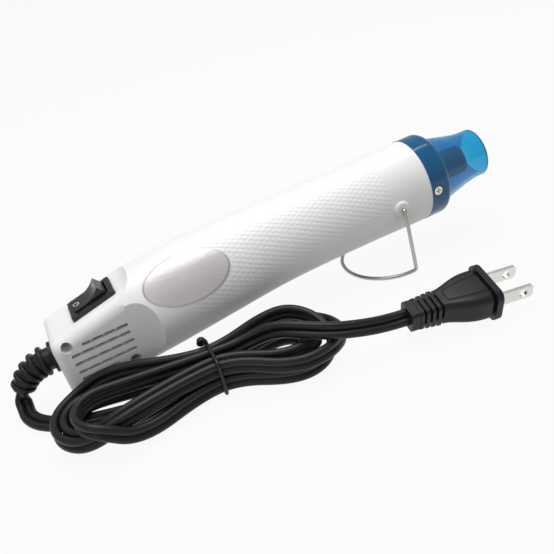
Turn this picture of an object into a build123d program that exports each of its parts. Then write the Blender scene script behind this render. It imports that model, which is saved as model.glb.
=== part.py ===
from build123d import *
import math
import os

os.makedirs("parts", exist_ok=True)

# Embossing heat tool. Millimetres and degrees.
# The barrel lies along X with the nozzle forward; the origin of the tool itself is on the barrel's
# axis at the joint of the white body and the blue nozzle. At the end everything is set down on the
# table, nose up, on its wire stand and its tail.

# Clearances
overrun = 1.0
seat_gap = 0.03
run_gap = 0.05
free_gap = 0.3

# Body shell
body_length = 181.0
body_radius = 19.8
wall = 2.0
rear_round = 3.5
# place along the body, half width, half height and drop of the section, as shares
section_shares = [
    (0.0, 1.0, 1.0, 0.0),
    (0.1, 0.99, 0.99, 0.0),
    (0.2, 0.985, 0.98, 0.0),
    (0.3, 0.985, 0.982, 0.004),
    (0.4, 0.995, 0.994, 0.016),
    (0.5, 1.02, 1.028, 0.055),
    (0.6, 1.045, 1.067, 0.115),
    (0.7, 1.06, 1.086, 0.187),
    (0.8, 1.06, 1.073, 0.28),
    (0.9, 1.03, 1.038, 0.386),
    (1.0, 0.985, 0.985, 0.455),
]
flat_half = 15.3
flat_front = 147.3
flat_blend = 14.0

# Sloping land that carries the switch
land_pitch = 13.5
land_z = 9.2
land_blend = 12.0
land_corner = 5.0

# Front spigot and lip
spigot_length = 8.0
spigot_radius = 17.6
spigot_bore = 15.8
lip_bore = 14.4
front_wall = 3.0

# Air vents in both sides of the tail
vent_height = 1.6
vent_rows = [(0.1, 169.0, 148.6), (-3.6, 174.8, 148.8), (-7.8, 175.0, 148.6), (-12.0, 174.9, 148.9),
             (-15.5, 174.9, 158.0)]
vent_bars = [170.5, 165.0, 159.5, 154.0]
vent_bar_width = 1.0
vent_bar_depth = 1.6

# Body screws, in deep wells
well_radius = 2.4
well_places = [(174.9, 1.3), (151.5, -17.2)]
boss_wall = 1.4
screw_seat = 4.5
screw_reach = 6.0
screw_radius = 1.25
screw_head_radius = 2.1
screw_head_height = 1.6
cross_width = 0.6
cross_depth = 0.7
cross_reach_share = 0.7

# Nozzle: collar and bell in one moulding
collar_radius = 20.0
collar_length = 8.0
collar_step = 11.3
# middle of the collar's rounded shoulder, along and outward
shoulder_share = (0.72, 0.66)
seam_radius = 16.9
bell_start = 12.0
bell_radius = 16.4
bell_length = 37.5
mouth_radius = 11.8
bell_wall = 1.6
mouth_land = 3.0
# place along the bell, and height between mouth and base, as shares
bell_shares = [(0.2, 0.72), (0.42, 0.42), (0.62, 0.17), (0.8, 0.03)]
collar_screw_x = 3.2
collar_screw_head = 2.1
collar_screw_recess = 2.5
collar_recess_depth = 1.1
collar_screw_height = 1.0

# Wire stand
pivot_x = 16.9
pivot_z = -1.1
wire_radius = 0.9
wire_bend = 1.5
leg_y = 22.4
leg_lean = 2.1
loop_straight = 3.0
stand_boss_radius = 4.0
stand_boss_reach = 20.85
stand_boss_round = 1.4
stand_boss_inside = 13.5
stand_wire_inside = 15.2

# Attitude on the table
nose_up = 2.0

# Rocker switch
switch_x = 158.0
bezel_length = 21.0
bezel_width = 15.0
bezel_height = 1.8
bezel_round = 1.0
bezel_edge_share = 0.6
switch_length = 18.6
switch_width = 12.6
switch_depth = 13.0
switch_wall = 1.2
rocker_width = 9.8
rocker_half = 7.6
rocker_lip = 6.6
rocker_lip_height = 4.9
rocker_dip_height = 3.2
rocker_edge_height = 0.6
rocker_under = 1.7
rocker_pin_radius = 1.2
rocker_pivot_depth = 2.0
rocker_swing = 28.0
stem_half = 1.7
stem_length = 4.4
plunger_radius = 0.9
plunger_length = 7.0
contact_gap = 0.35
contact_length = 10.4
contact_width = 4.0
contact_thickness = 0.6
contact_hub = 1.6
contact_saddle_share = 0.25
fulcrum_radius = 0.8
contact_swing = 10.0
tab_width = 4.0
tab_thickness = 0.8
tab_length = 7.0
tab_spacing = 4.6

# Motor
motor_front = 92.0
motor_length = 26.0
motor_radius = 10.0
motor_flat = 7.7
can_wall = 0.8
cap_length = 2.5
bush_radius = 3.0
bush_length = 2.2
boss_ring = 0.6
shaft_radius = 1.0
shaft_front = 80.3
shaft_tail = 1.0
magnet_inner = 7.0
magnet_half = 6.2
magnet_margin = 2.4
armature_radius = 6.5
armature_length = 13.0
armature_front = 99.0
pole_depth = 1.2
pole_gap = 1.6
arm_width = 2.4
core_hub = 2.6
coil_reach = 2.6
coil_end = 1.4
commutator_radius = 2.5
commutator_core = 1.7
commutator_length = 2.2
commutator_slot = 0.4
brush_gap = 0.1
brush_width = 2.2
brush_length = 1.6
strip_z = 5.5
strip_thickness = 0.6
poles = 3

# Bracket, fan and duct
bracket_length = 2.0
bracket_hub = 9.0
bracket_ring = 1.8
spoke_width = 3.2
spokes = 4
motor_screw_z = 5.5
motor_screw_radius = 0.9
motor_screw_head = 1.8
motor_screw_height = 0.9
duct_radius = 16.4
duct_wall = 1.2
duct_end = 76.0
neck_start = 52.0
neck_end = 45.0
neck_wall = 1.2
fan_radius = 14.5
fan_hub = 3.4
fan_nose_share = 0.33
fan_rear = 87.5
fan_blades = 7
blade_thickness = 0.9
blade_root_angle = 30.0
blade_tip_angle = 58.0
blade_root_chord = 6.0
blade_tip_chord = 9.5
seat_rib = 1.5
seat_depth = 4.0
duct_rib = 2.0

# Heater
tube_radius = 7.0
tube_wall = 0.4
tube_front = 28.0
flange_radius = 9.5
flange_thickness = 0.6
sleeve_wall = 0.2
sleeve_rear = 46.0
sleeve_front = 22.0
former_half = 5.1
former_sheet = 0.6
former_rear = 64.0
former_front = 20.0
coil_radius = 5.5
coil_wire = 0.33
coil_wire_sides = 6
coil_turns = 12
coil_pitch = 4.4
coil_front = 17.0
ring_thickness = 2.2
cutout_radius = 2.6
cutout_length = 9.0
cutout_front = 53.5

# Rectifier board
board_radius = 9.0
board_thickness = 1.6
strip_length = 4.5
diode_radius = 1.3
diode_length = 5.2
diode_places = [(4.6, 4.4), (-4.6, 4.4), (4.6, -4.4), (-4.6, -4.4)]
capacitor_size = (3.4, 8.0, 4.6)
capacitor_round = 1.1

# Cord, its inlet and clamp
cord_width = 7.2
cord_thick = 3.6
lead_radius = 2.3
cord_z = -8.5
inlet_radius = 4.9
relief_flange = 6.4
relief_lock = 2.0
relief_root = 7.0
relief_straight = 4.0
relief_turn = 60.0
relief_radius = 17.0
relief_tip = 4.3
relief_core_share = 0.72
relief_ribs = 5
rib_share = 0.5
rib_round = 0.6
cord_inside = 163.5
clamp_front = 165.2
clamp_length = 5.2
clamp_half = 6.9
clamp_thickness = 2.2
shelf_thickness = 2.4
clamp_screw_y = 5.3
clamp_screw_radius = 0.9
clamp_screw_head = 1.7
clamp_screw_height = 1.2

# Hank of cord
waist_step = 6.1
end_step = 4.7
right_inner = 10.6
left_inner = 10.3
right_run = 33.0
left_run = 48.0
layer = 7.7
low_waist = 5.6
low_right = 3.7
low_left = 8.7
hank_in = 25.0
hank_out = 26.0
hank_out_y = -8.5
hank_out_turn = -15.0
hank_x = -51.5
hank_y = -38.3
hank_turn = -2.5
parallel_limit = 1e-9
# slot at the waist going right, loop at the right end, layers of its top, end and bottom,
# slot at the waist going left, loop at the left end, layers of the waist going right and left
hank_loops = [
    (0, 0, 0, 0, 0, -1, 0, 0, 0),
    (1, 1, 0, 0, 0, -2, 1, 0, 0),
    (2, 3, 0, 0, 1, -2, 1, 0, 1),
    (1, 2, 1, 0, 1, -1, 0, 1, 1),
]

# Wire tie round the hank
tie_radius = 0.8
tie_clear = 0.75
tie_low_clear = 0.3
tie_slots = 2
tie_curl = 1.7

# Plug with two flat blades
plug_x = 63.0
plug_y = -68.2
plug_turn = -6.0
plug_dip = 3.5
plug_roll = 12.0
flange_width = 23.0
flange_height = 15.6
flange_depth = 3.2
flange_round = 4.0
groove_depth = 1.6
groove_width = 1.2
plug_length = 38.0
plug_rib_start = 24.0
plug_rib_count = 4
plug_rib_pitch = 2.5
plug_rib_width = 1.4
block_length = 4.4
blade_spacing = 12.7
blade_width = 6.35
blade_sheet = 1.5
blade_length = 16.5
blade_hole = 1.95
blade_hole_x = 11.9
# place along the plug's grip from the flange, half width and half height, as shares
grip_shares = [(0.0, 0.89, 0.82), (0.28, 0.88, 0.82), (0.55, 0.77, 0.8), (0.8, 0.61, 0.74), (1.0, 0.53, 0.7)]
# the same for the raised panel on its top and underside
panel_shares = [(0.06, 0.62, 0.88), (0.45, 0.56, 0.87), (0.86, 0.34, 0.79)]
grip_round_share = 0.25
rib_round_share = 0.33
flange_edge_share = 0.25
blade_tip_share = 0.17
rib_half_width = 6.0
rib_half_height = 5.4
block_half_width = 5.2
block_half_height = 4.7

# Routes of the free cord, on the table
corner_share = 0.45
tip_straight = 4.3
lead_route = [
    (-129.5, -3.5, 3.6),
    (-129.1, -9.5, 2.4),
    (-125.7, -16.0, 2.35),
    (-119.5, -21.6, 2.35),
    (-110.5, -26.6, 2.35),
    (-99.0, -30.8, 2.35),
    (-87.5, -34.8, 2.8),
]
tail_route = [
    (-14.5, -49.6, 13.8),
    (-2.5, -53.6, 15.0),
    (9.5, -58.6, 13.8),
]


def across(x, y=0, z=0):
    """Plane across the barrel, its own x along Y and its own y along Z."""
    return Plane(origin=(x, y, z), x_dir=(0, 1, 0), z_dir=(1, 0, 0))


def rod(start, end, radius, y=0, z=0):
    """Cylinder along the barrel."""
    return extrude(across(start, y, z) * Circle(radius), end - start)


def tube(start, end, outer, inner, y=0, z=0):
    """Tube along the barrel."""
    return rod(start, end, outer, y, z) - rod(start - overrun, end + overrun, inner, y, z)


def pin(start, end, radius, x, z):
    """Cylinder across the tool, along Y."""
    section = Plane(origin=(x, start, z), x_dir=(1, 0, 0), z_dir=(0, 1, 0)) * Circle(radius)
    return extrude(section, end - start)


def post(start, end, radius, x, y):
    """Upright cylinder."""
    return extrude(Plane(origin=(x, y, start)) * Circle(radius), end - start)


def block(x0, x1, y0, y1, z0, z1):
    """Box between two corners."""
    return Pos((x0 + x1) / 2, (y0 + y1) / 2, (z0 + z1) / 2) * Box(abs(x1 - x0), abs(y1 - y0), abs(z1 - z0))


def turned(points):
    """Ring turned about the barrel's axis from places along it and radii."""
    return revolve(Plane.XZ * make_face(Polyline(*points, close=True)), Axis.X)


def cross_cut(width, reach, depth):
    """Cross for a screwdriver, cut downwards from zero."""
    arm = Box(2 * reach, width, 2 * depth)
    return arm + Rot(0, 0, 90) * arm


def save(name, *shapes):
    """Write the solids of one sub-part."""
    solids = [solid for shape in shapes for solid in shape.solids()]
    export_step(solids[0] if len(solids) == 1 else Compound(solids), f"parts/{name}.step")


# Body shell

reach = 2 * body_length
land = Location((-switch_x, 0, land_z), (0, -land_pitch, 0))


def body_form(inset):
    """Outer form of the body, or the same form inset by a wall."""
    sections = []
    for along, wide, high, drop in section_shares:
        outline = Ellipse(wide * body_radius - inset, high * body_radius - inset)
        sections.append(across(-along * body_length, 0, -drop * body_radius) * outline)
    form = loft(sections)
    half = flat_half - inset
    outline = Pos(0, -inset - body_length / 2) * RectangleRounded(2 * half, body_length, land_corner - inset)
    kept = land * extrude(across(0) * outline, reach / 2, both=True)
    tail = Pos(-flat_front, 0, 0) * Box(body_length, reach, reach, align=(Align.MAX, Align.CENTER, Align.CENTER))
    form = form - (tail - kept)
    for side in (-1, 1):
        form = form - Pos(-flat_front, side * (flat_half + flat_blend), 0) * Cylinder(flat_blend + inset, reach)
    rise = (switch_x - flat_front) * math.tan(math.radians(land_pitch))
    lean = Vector(-math.sin(math.radians(land_pitch)), 0, math.cos(math.radians(land_pitch)))
    hollow = Vector(-flat_front, 0, land_z + rise) + lean * land_blend
    return form - Location((hollow.X, 0, hollow.Z), (90, 0, 0)) * Cylinder(land_blend + inset, reach)


def vent(z, rear, front):
    """One slot through both sides of the tail."""
    outline = SlotOverall(rear - front, vent_height)
    cut = Plane.XZ * (Pos(-(rear + front) / 2, z) * outline)
    side = extrude(cut, wall + vent_bar_depth + overrun)
    return [Pos(0, flat_half + overrun, 0) * side, Pos(0, -flat_half + wall + vent_bar_depth, 0) * side]


outer_form = body_form(0)
outer_form = fillet(outer_form.faces().sort_by(Axis.X)[0].edges(), rear_round)
inner_form = body_form(wall)


def inner_slab(rear, front):
    """Slice of the space inside the body."""
    return inner_form & block(-rear, -front, -reach, reach, -reach, reach)


def body_shell():
    """Both halves of the body, before they are parted."""
    shell = outer_form - inner_slab(body_length - wall, front_wall)
    shell = shell - rod(-front_wall - overrun, overrun, lip_bore)
    shell = shell + tube(-front_wall, spigot_length, spigot_radius, spigot_bore)
    shell = shell - rod(0, spigot_length + overrun, spigot_bore)
    for z, rear, front in vent_rows:
        for cut in vent(z, rear, front):
            shell = shell - cut
    bar_top = vent_rows[0][0] + vent_height
    bar_low = vent_rows[-1][0] - vent_height
    inside = flat_half - wall
    for side in (-1, 1):
        for x in vent_bars:
            bar = block(-x - vent_bar_width / 2, -x + vent_bar_width / 2, side * (inside + seat_gap),
                        side * (inside - vent_bar_depth), bar_low, bar_top)
            shell = shell + bar
    seat = inner_slab(motor_front + seat_rib, motor_front - seat_depth)
    seat = seat - rod(-motor_front - seat_rib - overrun, -motor_front, duct_radius - bracket_ring + free_gap)
    seat = seat - rod(-motor_front, -motor_front + seat_depth + overrun, duct_radius + seat_gap)
    shell = shell + seat
    collar = inner_slab(duct_end + duct_rib + overrun, duct_end + overrun)
    shell = shell + (collar - rod(-duct_end - duct_rib - 2 * overrun, -duct_end, duct_radius + seat_gap))
    boss_radius = well_radius + boss_wall
    for x, z in well_places:
        boss = pin(-flat_half, flat_half - wall / 2, boss_radius, -x, z) & outer_form
        shell = shell + boss
        shell = shell - pin(-flat_half - overrun, -screw_seat, well_radius, -x, z)
        shell = shell - pin(-screw_seat - overrun, 0, screw_radius + free_gap, -x, z)
        shell = shell - pin(0, screw_reach + overrun, screw_radius + seat_gap, -x, z)
    for side in (-1, 1):
        ear = pin(stand_boss_inside, stand_boss_reach, stand_boss_radius, -pivot_x, pivot_z)
        ear = fillet(ear.edges().group_by(Axis.Y)[-1], stand_boss_round)
        bore = pin(stand_boss_inside + overrun, stand_boss_reach + overrun, wire_radius + run_gap,
                   -pivot_x, pivot_z)
        if side < 0:
            ear = mirror(ear, Plane.XZ)
            bore = mirror(bore, Plane.XZ)
        shell = shell + ear - bore
    opening = land * Box(switch_length + free_gap, switch_width + free_gap, switch_depth)
    shell = shell - opening
    shell = shell - rod(-body_length - overrun, -body_length + wall + overrun, inlet_radius, z=cord_z)
    for side in (-1, 1):
        shell = shell - pin(side * spigot_bore - side * overrun, side * collar_radius, screw_radius - seat_gap,
                            collar_screw_x, 0)
    return shell


def clamp_shelf():
    """Shelf on the left half that the cord is clamped to."""
    top = cord_z - cord_thick / 2
    shelf = block(-clamp_front - clamp_length, -clamp_front, -clamp_half, flat_half - wall / 2,
                  top - shelf_thickness, top)
    for y in (-clamp_screw_y, clamp_screw_y):
        shelf = shelf - post(top - shelf_thickness - overrun, top + overrun, clamp_screw_radius + seat_gap,
                             -clamp_front - clamp_length / 2, y)
    return shelf


shell = body_shell()
housing_right = shell & block(-reach, reach, -reach, 0, -reach, reach)
housing_left = (shell & block(-reach, reach, 0, reach, -reach, reach)) + clamp_shelf()


def body_screws():
    """Two pan-head screws down the wells of the right half."""
    screws = []
    for x, z in well_places:
        head = pin(-screw_seat - screw_head_height, -screw_seat, screw_head_radius, -x, z)
        cut = Location((-x, -screw_seat - screw_head_height, z), (-90, 0, 0)) * cross_cut(
            cross_width, screw_head_radius * cross_reach_share, cross_depth)
        screws.append(head - cut + pin(-screw_seat, screw_reach, screw_radius, -x, z))
    return screws


# Nozzle

def nozzle():
    """Collar and bell, turned as one wall."""
    inner = spigot_radius + run_gap
    step = spigot_length + seat_gap
    rise = bell_radius - mouth_radius
    span = bell_length - bell_start
    curve = [(bell_start + along * span, mouth_radius + high * rise) for along, high in bell_shares]
    outside = [
        Line((0, inner), (0, collar_radius)),
        Line((0, collar_radius), (collar_length, collar_radius)),
        ThreePointArc((collar_length, collar_radius),
                      (collar_length + shoulder_share[0] * (collar_step - collar_length),
                       seam_radius + shoulder_share[1] * (collar_radius - seam_radius)),
                      (collar_step, seam_radius)),
        Line((collar_step, seam_radius), (bell_start, bell_radius)),
        Spline((bell_start, bell_radius), *curve, (bell_length, mouth_radius)),
    ]
    inside_curve = [(x, radius - bell_wall) for x, radius in reversed(curve)]
    inside = [
        Line((bell_length, mouth_radius), (bell_length, mouth_radius - bell_wall)),
        Line((bell_length, mouth_radius - bell_wall), (bell_length - mouth_land, mouth_radius - bell_wall)),
        Spline((bell_length - mouth_land, mouth_radius - bell_wall), *inside_curve,
               (bell_start, bell_radius - bell_wall)),
        Line((bell_start, bell_radius - bell_wall), (step, bell_radius - bell_wall)),
        Line((step, bell_radius - bell_wall), (step, inner)),
        Line((step, inner), (0, inner)),
    ]
    form = revolve(Plane.XZ * make_face(outside + inside), Axis.X)
    for side in (-1, 1):
        form = form - pin(side * (collar_radius - collar_recess_depth), side * (collar_radius + overrun),
                          collar_screw_recess, collar_screw_x, 0)
        form = form - pin(side * (spigot_radius - overrun), side * collar_radius, screw_radius + seat_gap,
                          collar_screw_x, 0)
    return form


def collar_screws():
    """One screw each side through the collar into the spigot."""
    seat = collar_radius - collar_recess_depth
    screws = []
    for side in (-1, 1):
        head = pin(side * seat, side * (seat + collar_screw_height), collar_screw_head, collar_screw_x, 0)
        cut = Location((collar_screw_x, side * (seat + collar_screw_height), 0), (-90, 0, 0)) * cross_cut(
            cross_width, collar_screw_head * cross_reach_share, cross_depth)
        shank = pin(side * (spigot_bore + free_gap), side * seat, screw_radius - 2 * seat_gap, collar_screw_x, 0)
        screws.append(head - cut + shank)
    return screws


# Switch: built about the rocker's pivot, with its own x forward and z up, then set on the land

switch_place = land * Location((0, 0, bezel_height - rocker_pivot_depth))
bezel_low = rocker_pivot_depth - bezel_height
body_low = bezel_low - switch_depth
contact_top = -plunger_length - contact_gap
fulcrum_z = contact_top - contact_thickness - fulcrum_radius - run_gap


def side_plane(y):
    """Plane along the tool at y, its own x forward and its own y up."""
    return Plane(origin=(0, y, 0), x_dir=(1, 0, 0), z_dir=(0, -1, 0))


def side_solid(face, width):
    """Profile seen from the side, given a width about the middle."""
    return extrude(side_plane(0) * face, width / 2, both=True)


def side_disc(radius, width, x, z):
    """Disc seen from the side."""
    return side_solid(Pos(x, z) * Circle(radius), width)


def switch_body():
    """Bezel and well, open at the top."""
    bezel = Pos(0, 0, rocker_pivot_depth) * extrude(
        RectangleRounded(bezel_length, bezel_width, bezel_round), -bezel_height)
    bezel = fillet(bezel.edges().group_by(Axis.Z)[-1], bezel_round * bezel_edge_share)
    well = block(-switch_length / 2, switch_length / 2, -switch_width / 2, switch_width / 2, body_low, bezel_low)
    inside_length = switch_length - 2 * switch_wall
    inside_width = switch_width - 2 * switch_wall
    hollow = block(-inside_length / 2, inside_length / 2, -inside_width / 2, inside_width / 2,
                   body_low + switch_wall, rocker_pivot_depth + overrun)
    form = bezel + well - hollow
    form = form - pin(-switch_width / 2 - overrun, switch_width / 2 + overrun,
                      rocker_pin_radius + run_gap, 0, 0)
    for x in (0, -tab_spacing):
        form = form - block(x - tab_thickness / 2 - seat_gap, x + tab_thickness / 2 + seat_gap,
                            -tab_width / 2 - seat_gap, tab_width / 2 + seat_gap, body_low - overrun,
                            body_low + switch_wall + overrun)
    return form


def rocker():
    """Rocker with its hollow top and its two pivot pins, level."""
    top = ThreePointArc((-rocker_lip, rocker_lip_height), (0, rocker_dip_height), (rocker_lip, rocker_lip_height))
    rest_of = Polyline((rocker_lip, rocker_lip_height), (rocker_half, rocker_edge_height),
                       (rocker_half - 2 * run_gap, -rocker_under / 2), (stem_half, -rocker_under),
                       (stem_half, -stem_length), (-stem_half, -stem_length), (-stem_half, -rocker_under),
                       (-rocker_half + 2 * run_gap, -rocker_under / 2), (-rocker_half, rocker_edge_height),
                       (-rocker_lip, rocker_lip_height))
    form = side_solid(make_face([top] + rest_of.edges()), rocker_width)
    return form + side_disc(rocker_pin_radius, switch_width - switch_wall, 0, 0)


def plunger():
    """Sprung pin under the rocker, with a round nose."""
    straight = extrude(Plane(origin=(0, 0, -stem_length)) * Circle(plunger_radius),
                       -(plunger_length - plunger_radius - stem_length))
    return straight + Pos(0, 0, -plunger_length + plunger_radius) * Sphere(plunger_radius)


def contact():
    """See-saw contact, level on its fulcrum."""
    strip = block(-contact_length / 2, contact_length / 2, -contact_width / 2, contact_width / 2,
                  contact_top - contact_thickness, contact_top)
    hub = side_disc(contact_hub, contact_width, 0, fulcrum_z)
    hub = hub & block(-contact_length, contact_length, -contact_width, contact_width,
                      fulcrum_z + fulcrum_radius * contact_saddle_share, contact_top)
    return strip + hub - side_disc(fulcrum_radius + run_gap, contact_width + overrun, 0, fulcrum_z)


def terminals():
    """Fulcrum tab and end tab, standing in the floor of the switch."""
    low = body_low - tab_length
    middle = block(-tab_thickness / 2, tab_thickness / 2, -tab_width / 2, tab_width / 2, low, fulcrum_z)
    middle = middle + side_disc(fulcrum_radius, tab_width, 0, fulcrum_z)
    half = math.radians(contact_swing / 2)
    reach_back = tab_spacing
    end_top = (fulcrum_z + (fulcrum_radius + run_gap) * math.cos(half) - (reach_back + tab_thickness) * math.tan(half)
               - brush_gap)
    end = block(-reach_back - tab_thickness / 2, -reach_back + tab_thickness / 2, -tab_width / 2, tab_width / 2,
                low, end_top)
    return [middle, end]


rocker_off = Rot(0, -rocker_swing / 2, 0)
contact_off = Pos(0, 0, fulcrum_z) * Rot(0, contact_swing / 2, 0) * Pos(0, 0, -fulcrum_z)


# Motor

def motor_outline(radius, flat):
    """Round motor with two flats, above and below."""
    return Circle(radius) & Rectangle(2 * radius, 2 * flat)


motor_rear = motor_front + motor_length
can_rear = motor_rear - cap_length


def motor_can():
    """Drawn steel can with a boss for the front bush."""
    can = extrude(across(-can_rear) * motor_outline(motor_radius, motor_flat), can_rear - motor_front)
    hollow = extrude(across(-can_rear - overrun) * motor_outline(motor_radius - can_wall, motor_flat - can_wall),
                     can_rear - motor_front - can_wall + overrun)
    nose = bush_length - can_wall
    can = can - hollow + rod(-motor_front - overrun / 2, -motor_front + nose, bush_radius + boss_ring)
    can = can - rod(-motor_front - can_wall - overrun, -motor_front + nose + overrun, bush_radius + seat_gap)
    for z in (-motor_screw_z, motor_screw_z):
        can = can - rod(-motor_front - overrun, -motor_front + overrun, motor_screw_radius + seat_gap, z=z)
    return can


def motor_cap():
    """Plastic end cap with the rear bush and the two brush strips."""
    cap = extrude(across(-motor_rear) * motor_outline(motor_radius, motor_flat), cap_length)
    cap = cap - rod(-motor_rear - overrun, -can_rear + overrun, bush_radius + seat_gap)
    for z in (-strip_z, strip_z):
        cap = cap - block(-motor_rear - overrun, -can_rear + overrun, -brush_width / 2 - seat_gap,
                          brush_width / 2 + seat_gap, z - strip_thickness / 2 - seat_gap,
                          z + strip_thickness / 2 + seat_gap)
    return cap


def magnets():
    """Two curved magnets against the round sides of the can."""
    ring = tube(-can_rear + magnet_margin, -motor_front - can_wall - magnet_margin,
                motor_radius - can_wall - seat_gap, magnet_inner)
    return ring & block(-reach, reach, -reach, reach, -magnet_half, magnet_half)


def bushes():
    """Front and rear sleeve bearings."""
    front = tube(-motor_front - can_wall, -motor_front - can_wall + bush_length, bush_radius,
                 shaft_radius + run_gap)
    rear = tube(-motor_rear, -motor_rear + bush_length, bush_radius, shaft_radius + run_gap)
    return [front, rear]


def brushes():
    """Two strips with a carbon block each, standing through the cap."""
    pieces = []
    for side in (-1, 1):
        strip = block(-motor_rear - strip_length, -can_rear + brush_length, -brush_width / 2, brush_width / 2,
                      side * (strip_z - strip_thickness / 2), side * (strip_z + strip_thickness / 2))
        carbon = block(-can_rear, -can_rear + brush_length, -brush_width / 2, brush_width / 2,
                       side * (commutator_radius + brush_gap), side * strip_z)
        pieces.append(strip + carbon)
    return pieces


def armature():
    """Laminated core with three poles."""
    outline = Circle(armature_radius) - Circle(armature_radius - pole_depth)
    for index in range(poles):
        turn = 360 * index / poles
        outline = outline - Rot(0, 0, turn + 180 / poles) * (Pos(armature_radius, 0) * Rectangle(
            armature_radius, pole_gap))
        outline = outline + Rot(0, 0, turn) * (Pos(armature_radius / 2, 0) * Rectangle(
            armature_radius - pole_depth / 2, arm_width))
    outline = outline + Circle(core_hub) - Circle(shaft_radius + seat_gap)
    return extrude(across(-armature_front - armature_length) * outline, armature_length)


def windings():
    """A coil round each arm of the core."""
    coils = []
    rear = -armature_front - armature_length
    inner_edge = core_hub + 2 * seat_gap + free_gap
    outer_edge = armature_radius - pole_depth - seat_gap
    for index in range(poles):
        coil = block(rear - coil_end, -armature_front + coil_end, inner_edge, outer_edge, -coil_reach, coil_reach)
        hole = block(rear - seat_gap, -armature_front + seat_gap, 0, armature_radius,
                     -arm_width / 2 - seat_gap, arm_width / 2 + seat_gap)
        coil = coil & rod(rear - coil_end, -armature_front + coil_end, armature_radius - pole_depth - seat_gap)
        coils.append(Rot(360 * index / poles, 0, 0) * (coil - hole))
    return coils


def commutator():
    """Insulating core with three copper segments."""
    rear = -can_rear + free_gap
    core = tube(rear, rear + commutator_length, commutator_core, shaft_radius + seat_gap)
    ring = tube(rear, rear + commutator_length, commutator_radius, commutator_core + seat_gap)
    for index in range(poles):
        turn = Rot(360 * index / poles + 180 / poles, 0, 0)
        ring = ring - turn * block(rear - overrun, rear + commutator_length + overrun, 0, 2 * commutator_radius,
                                   -commutator_slot / 2, commutator_slot / 2)
    return [core, ring]


def fan():
    """Axial fan with twisted blades."""
    wheel = rod(-fan_rear, -shaft_front, fan_hub)
    wheel = fillet(wheel.edges().sort_by(Axis.X)[-1], fan_hub * fan_nose_share)
    middle = -(fan_rear + shaft_front) / 2
    for index in range(fan_blades):
        root = Plane(origin=(middle, 0, fan_hub / 2), x_dir=(1, 0, 0), z_dir=(0, 0, 1)) * (
            Rot(0, 0, blade_root_angle) * Rectangle(blade_root_chord, blade_thickness))
        tip = Plane(origin=(middle, 0, fan_radius + overrun), x_dir=(1, 0, 0), z_dir=(0, 0, 1)) * (
            Rot(0, 0, blade_tip_angle) * Rectangle(blade_tip_chord, blade_thickness))
        wheel = wheel + Rot(360 * index / fan_blades, 0, 0) * loft([root, tip])
    wheel = wheel & rod(-fan_rear, -shaft_front, fan_radius)
    return wheel - rod(-fan_rear - overrun, -shaft_front + overrun, shaft_radius + seat_gap)


def bracket():
    """Spoked plate that carries the motor in the body."""
    outline = Circle(duct_radius) - Circle(duct_radius - bracket_ring)
    for index in range(spokes):
        outline = outline + Rot(0, 0, 360 * (index + 0.5) / spokes) * (
            Pos((duct_radius - bracket_ring / 2) / 2, 0) * Rectangle(duct_radius - bracket_ring / 2, spoke_width))
    outline = outline + Circle(bracket_hub) - Circle(bush_radius + boss_ring + seat_gap)
    for z in (-motor_screw_z, motor_screw_z):
        outline = outline - Pos(0, z) * Circle(motor_screw_radius + seat_gap)
    return extrude(across(-motor_front) * outline, bracket_length)


def motor_screws():
    """Two screws through the bracket into the motor's face."""
    seat = -motor_front + bracket_length
    screws = []
    for z in (-motor_screw_z, motor_screw_z):
        head = rod(seat, seat + motor_screw_height, motor_screw_head, z=z)
        screws.append(head + rod(-motor_front - can_wall - free_gap, seat, motor_screw_radius, z=z))
    return screws


duct_rear = motor_front - bracket_length
neck_bore = tube_radius + seat_gap


def duct():
    """Duct that narrows from the fan to the heater tube."""
    return turned([
        (-duct_rear, duct_radius),
        (-duct_end, duct_radius),
        (-neck_start, neck_bore + neck_wall),
        (-neck_end, neck_bore + neck_wall),
        (-neck_end, neck_bore),
        (-neck_start, neck_bore),
        (-duct_end, duct_radius - duct_wall),
        (-duct_rear, duct_radius - duct_wall),
    ])


# Heater

def heater_tube():
    """Thin steel tube with a flange against the duct's neck."""
    inner = tube_radius - tube_wall
    return turned([
        (-neck_start, tube_radius),
        (-neck_end, tube_radius),
        (-neck_end, flange_radius),
        (-neck_end + flange_thickness, flange_radius),
        (-neck_end + flange_thickness, tube_radius),
        (tube_front, tube_radius),
        (tube_front, inner),
        (-neck_start, inner),
    ])


def heater_former():
    """Crossed mica sheets."""
    flat = block(-former_rear, former_front, -former_half, former_half, -former_sheet / 2, former_sheet / 2)
    return flat + Rot(90, 0, 0) * flat


def heater_coil():
    """Resistance wire wound round the former."""
    height = coil_turns * coil_pitch
    path = Helix(coil_pitch, height, coil_radius)
    section = Plane(origin=path @ 0, z_dir=path % 0) * RegularPolygon(coil_wire, coil_wire_sides)
    coil = sweep(section, path=path, is_frenet=True)
    return Location((coil_front - height, 0, 0), (0, 90, 0)) * coil


# Strain relief and the cord inside it

relief_start = body_length + relief_straight
relief_centre = Vector(-relief_start, 0, cord_z - relief_radius)


def relief_point(angle):
    """Point and heading on the relief's bend, by degrees from its start."""
    turn = math.radians(angle)
    point = relief_centre + Vector(-math.sin(turn), 0, math.cos(turn)) * relief_radius
    return point, Vector(-math.cos(turn), 0, -math.sin(turn))


def relief_plane(angle):
    """Plane square to the relief's bend."""
    point, heading = relief_point(angle)
    return Plane(origin=point, x_dir=(0, 1, 0), z_dir=heading)


def inlet_path():
    """Line of the cord from inside the body to the relief's tip."""
    inner_end = Vector(-cord_inside, 0, cord_z)
    bend_start, _ = relief_point(0)
    bend_middle, _ = relief_point(relief_turn / 2)
    bend_end, _ = relief_point(relief_turn)
    return Wire([Edge.make_line(inner_end, bend_start), Edge.make_three_point_arc(bend_start, bend_middle, bend_end)])


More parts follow.
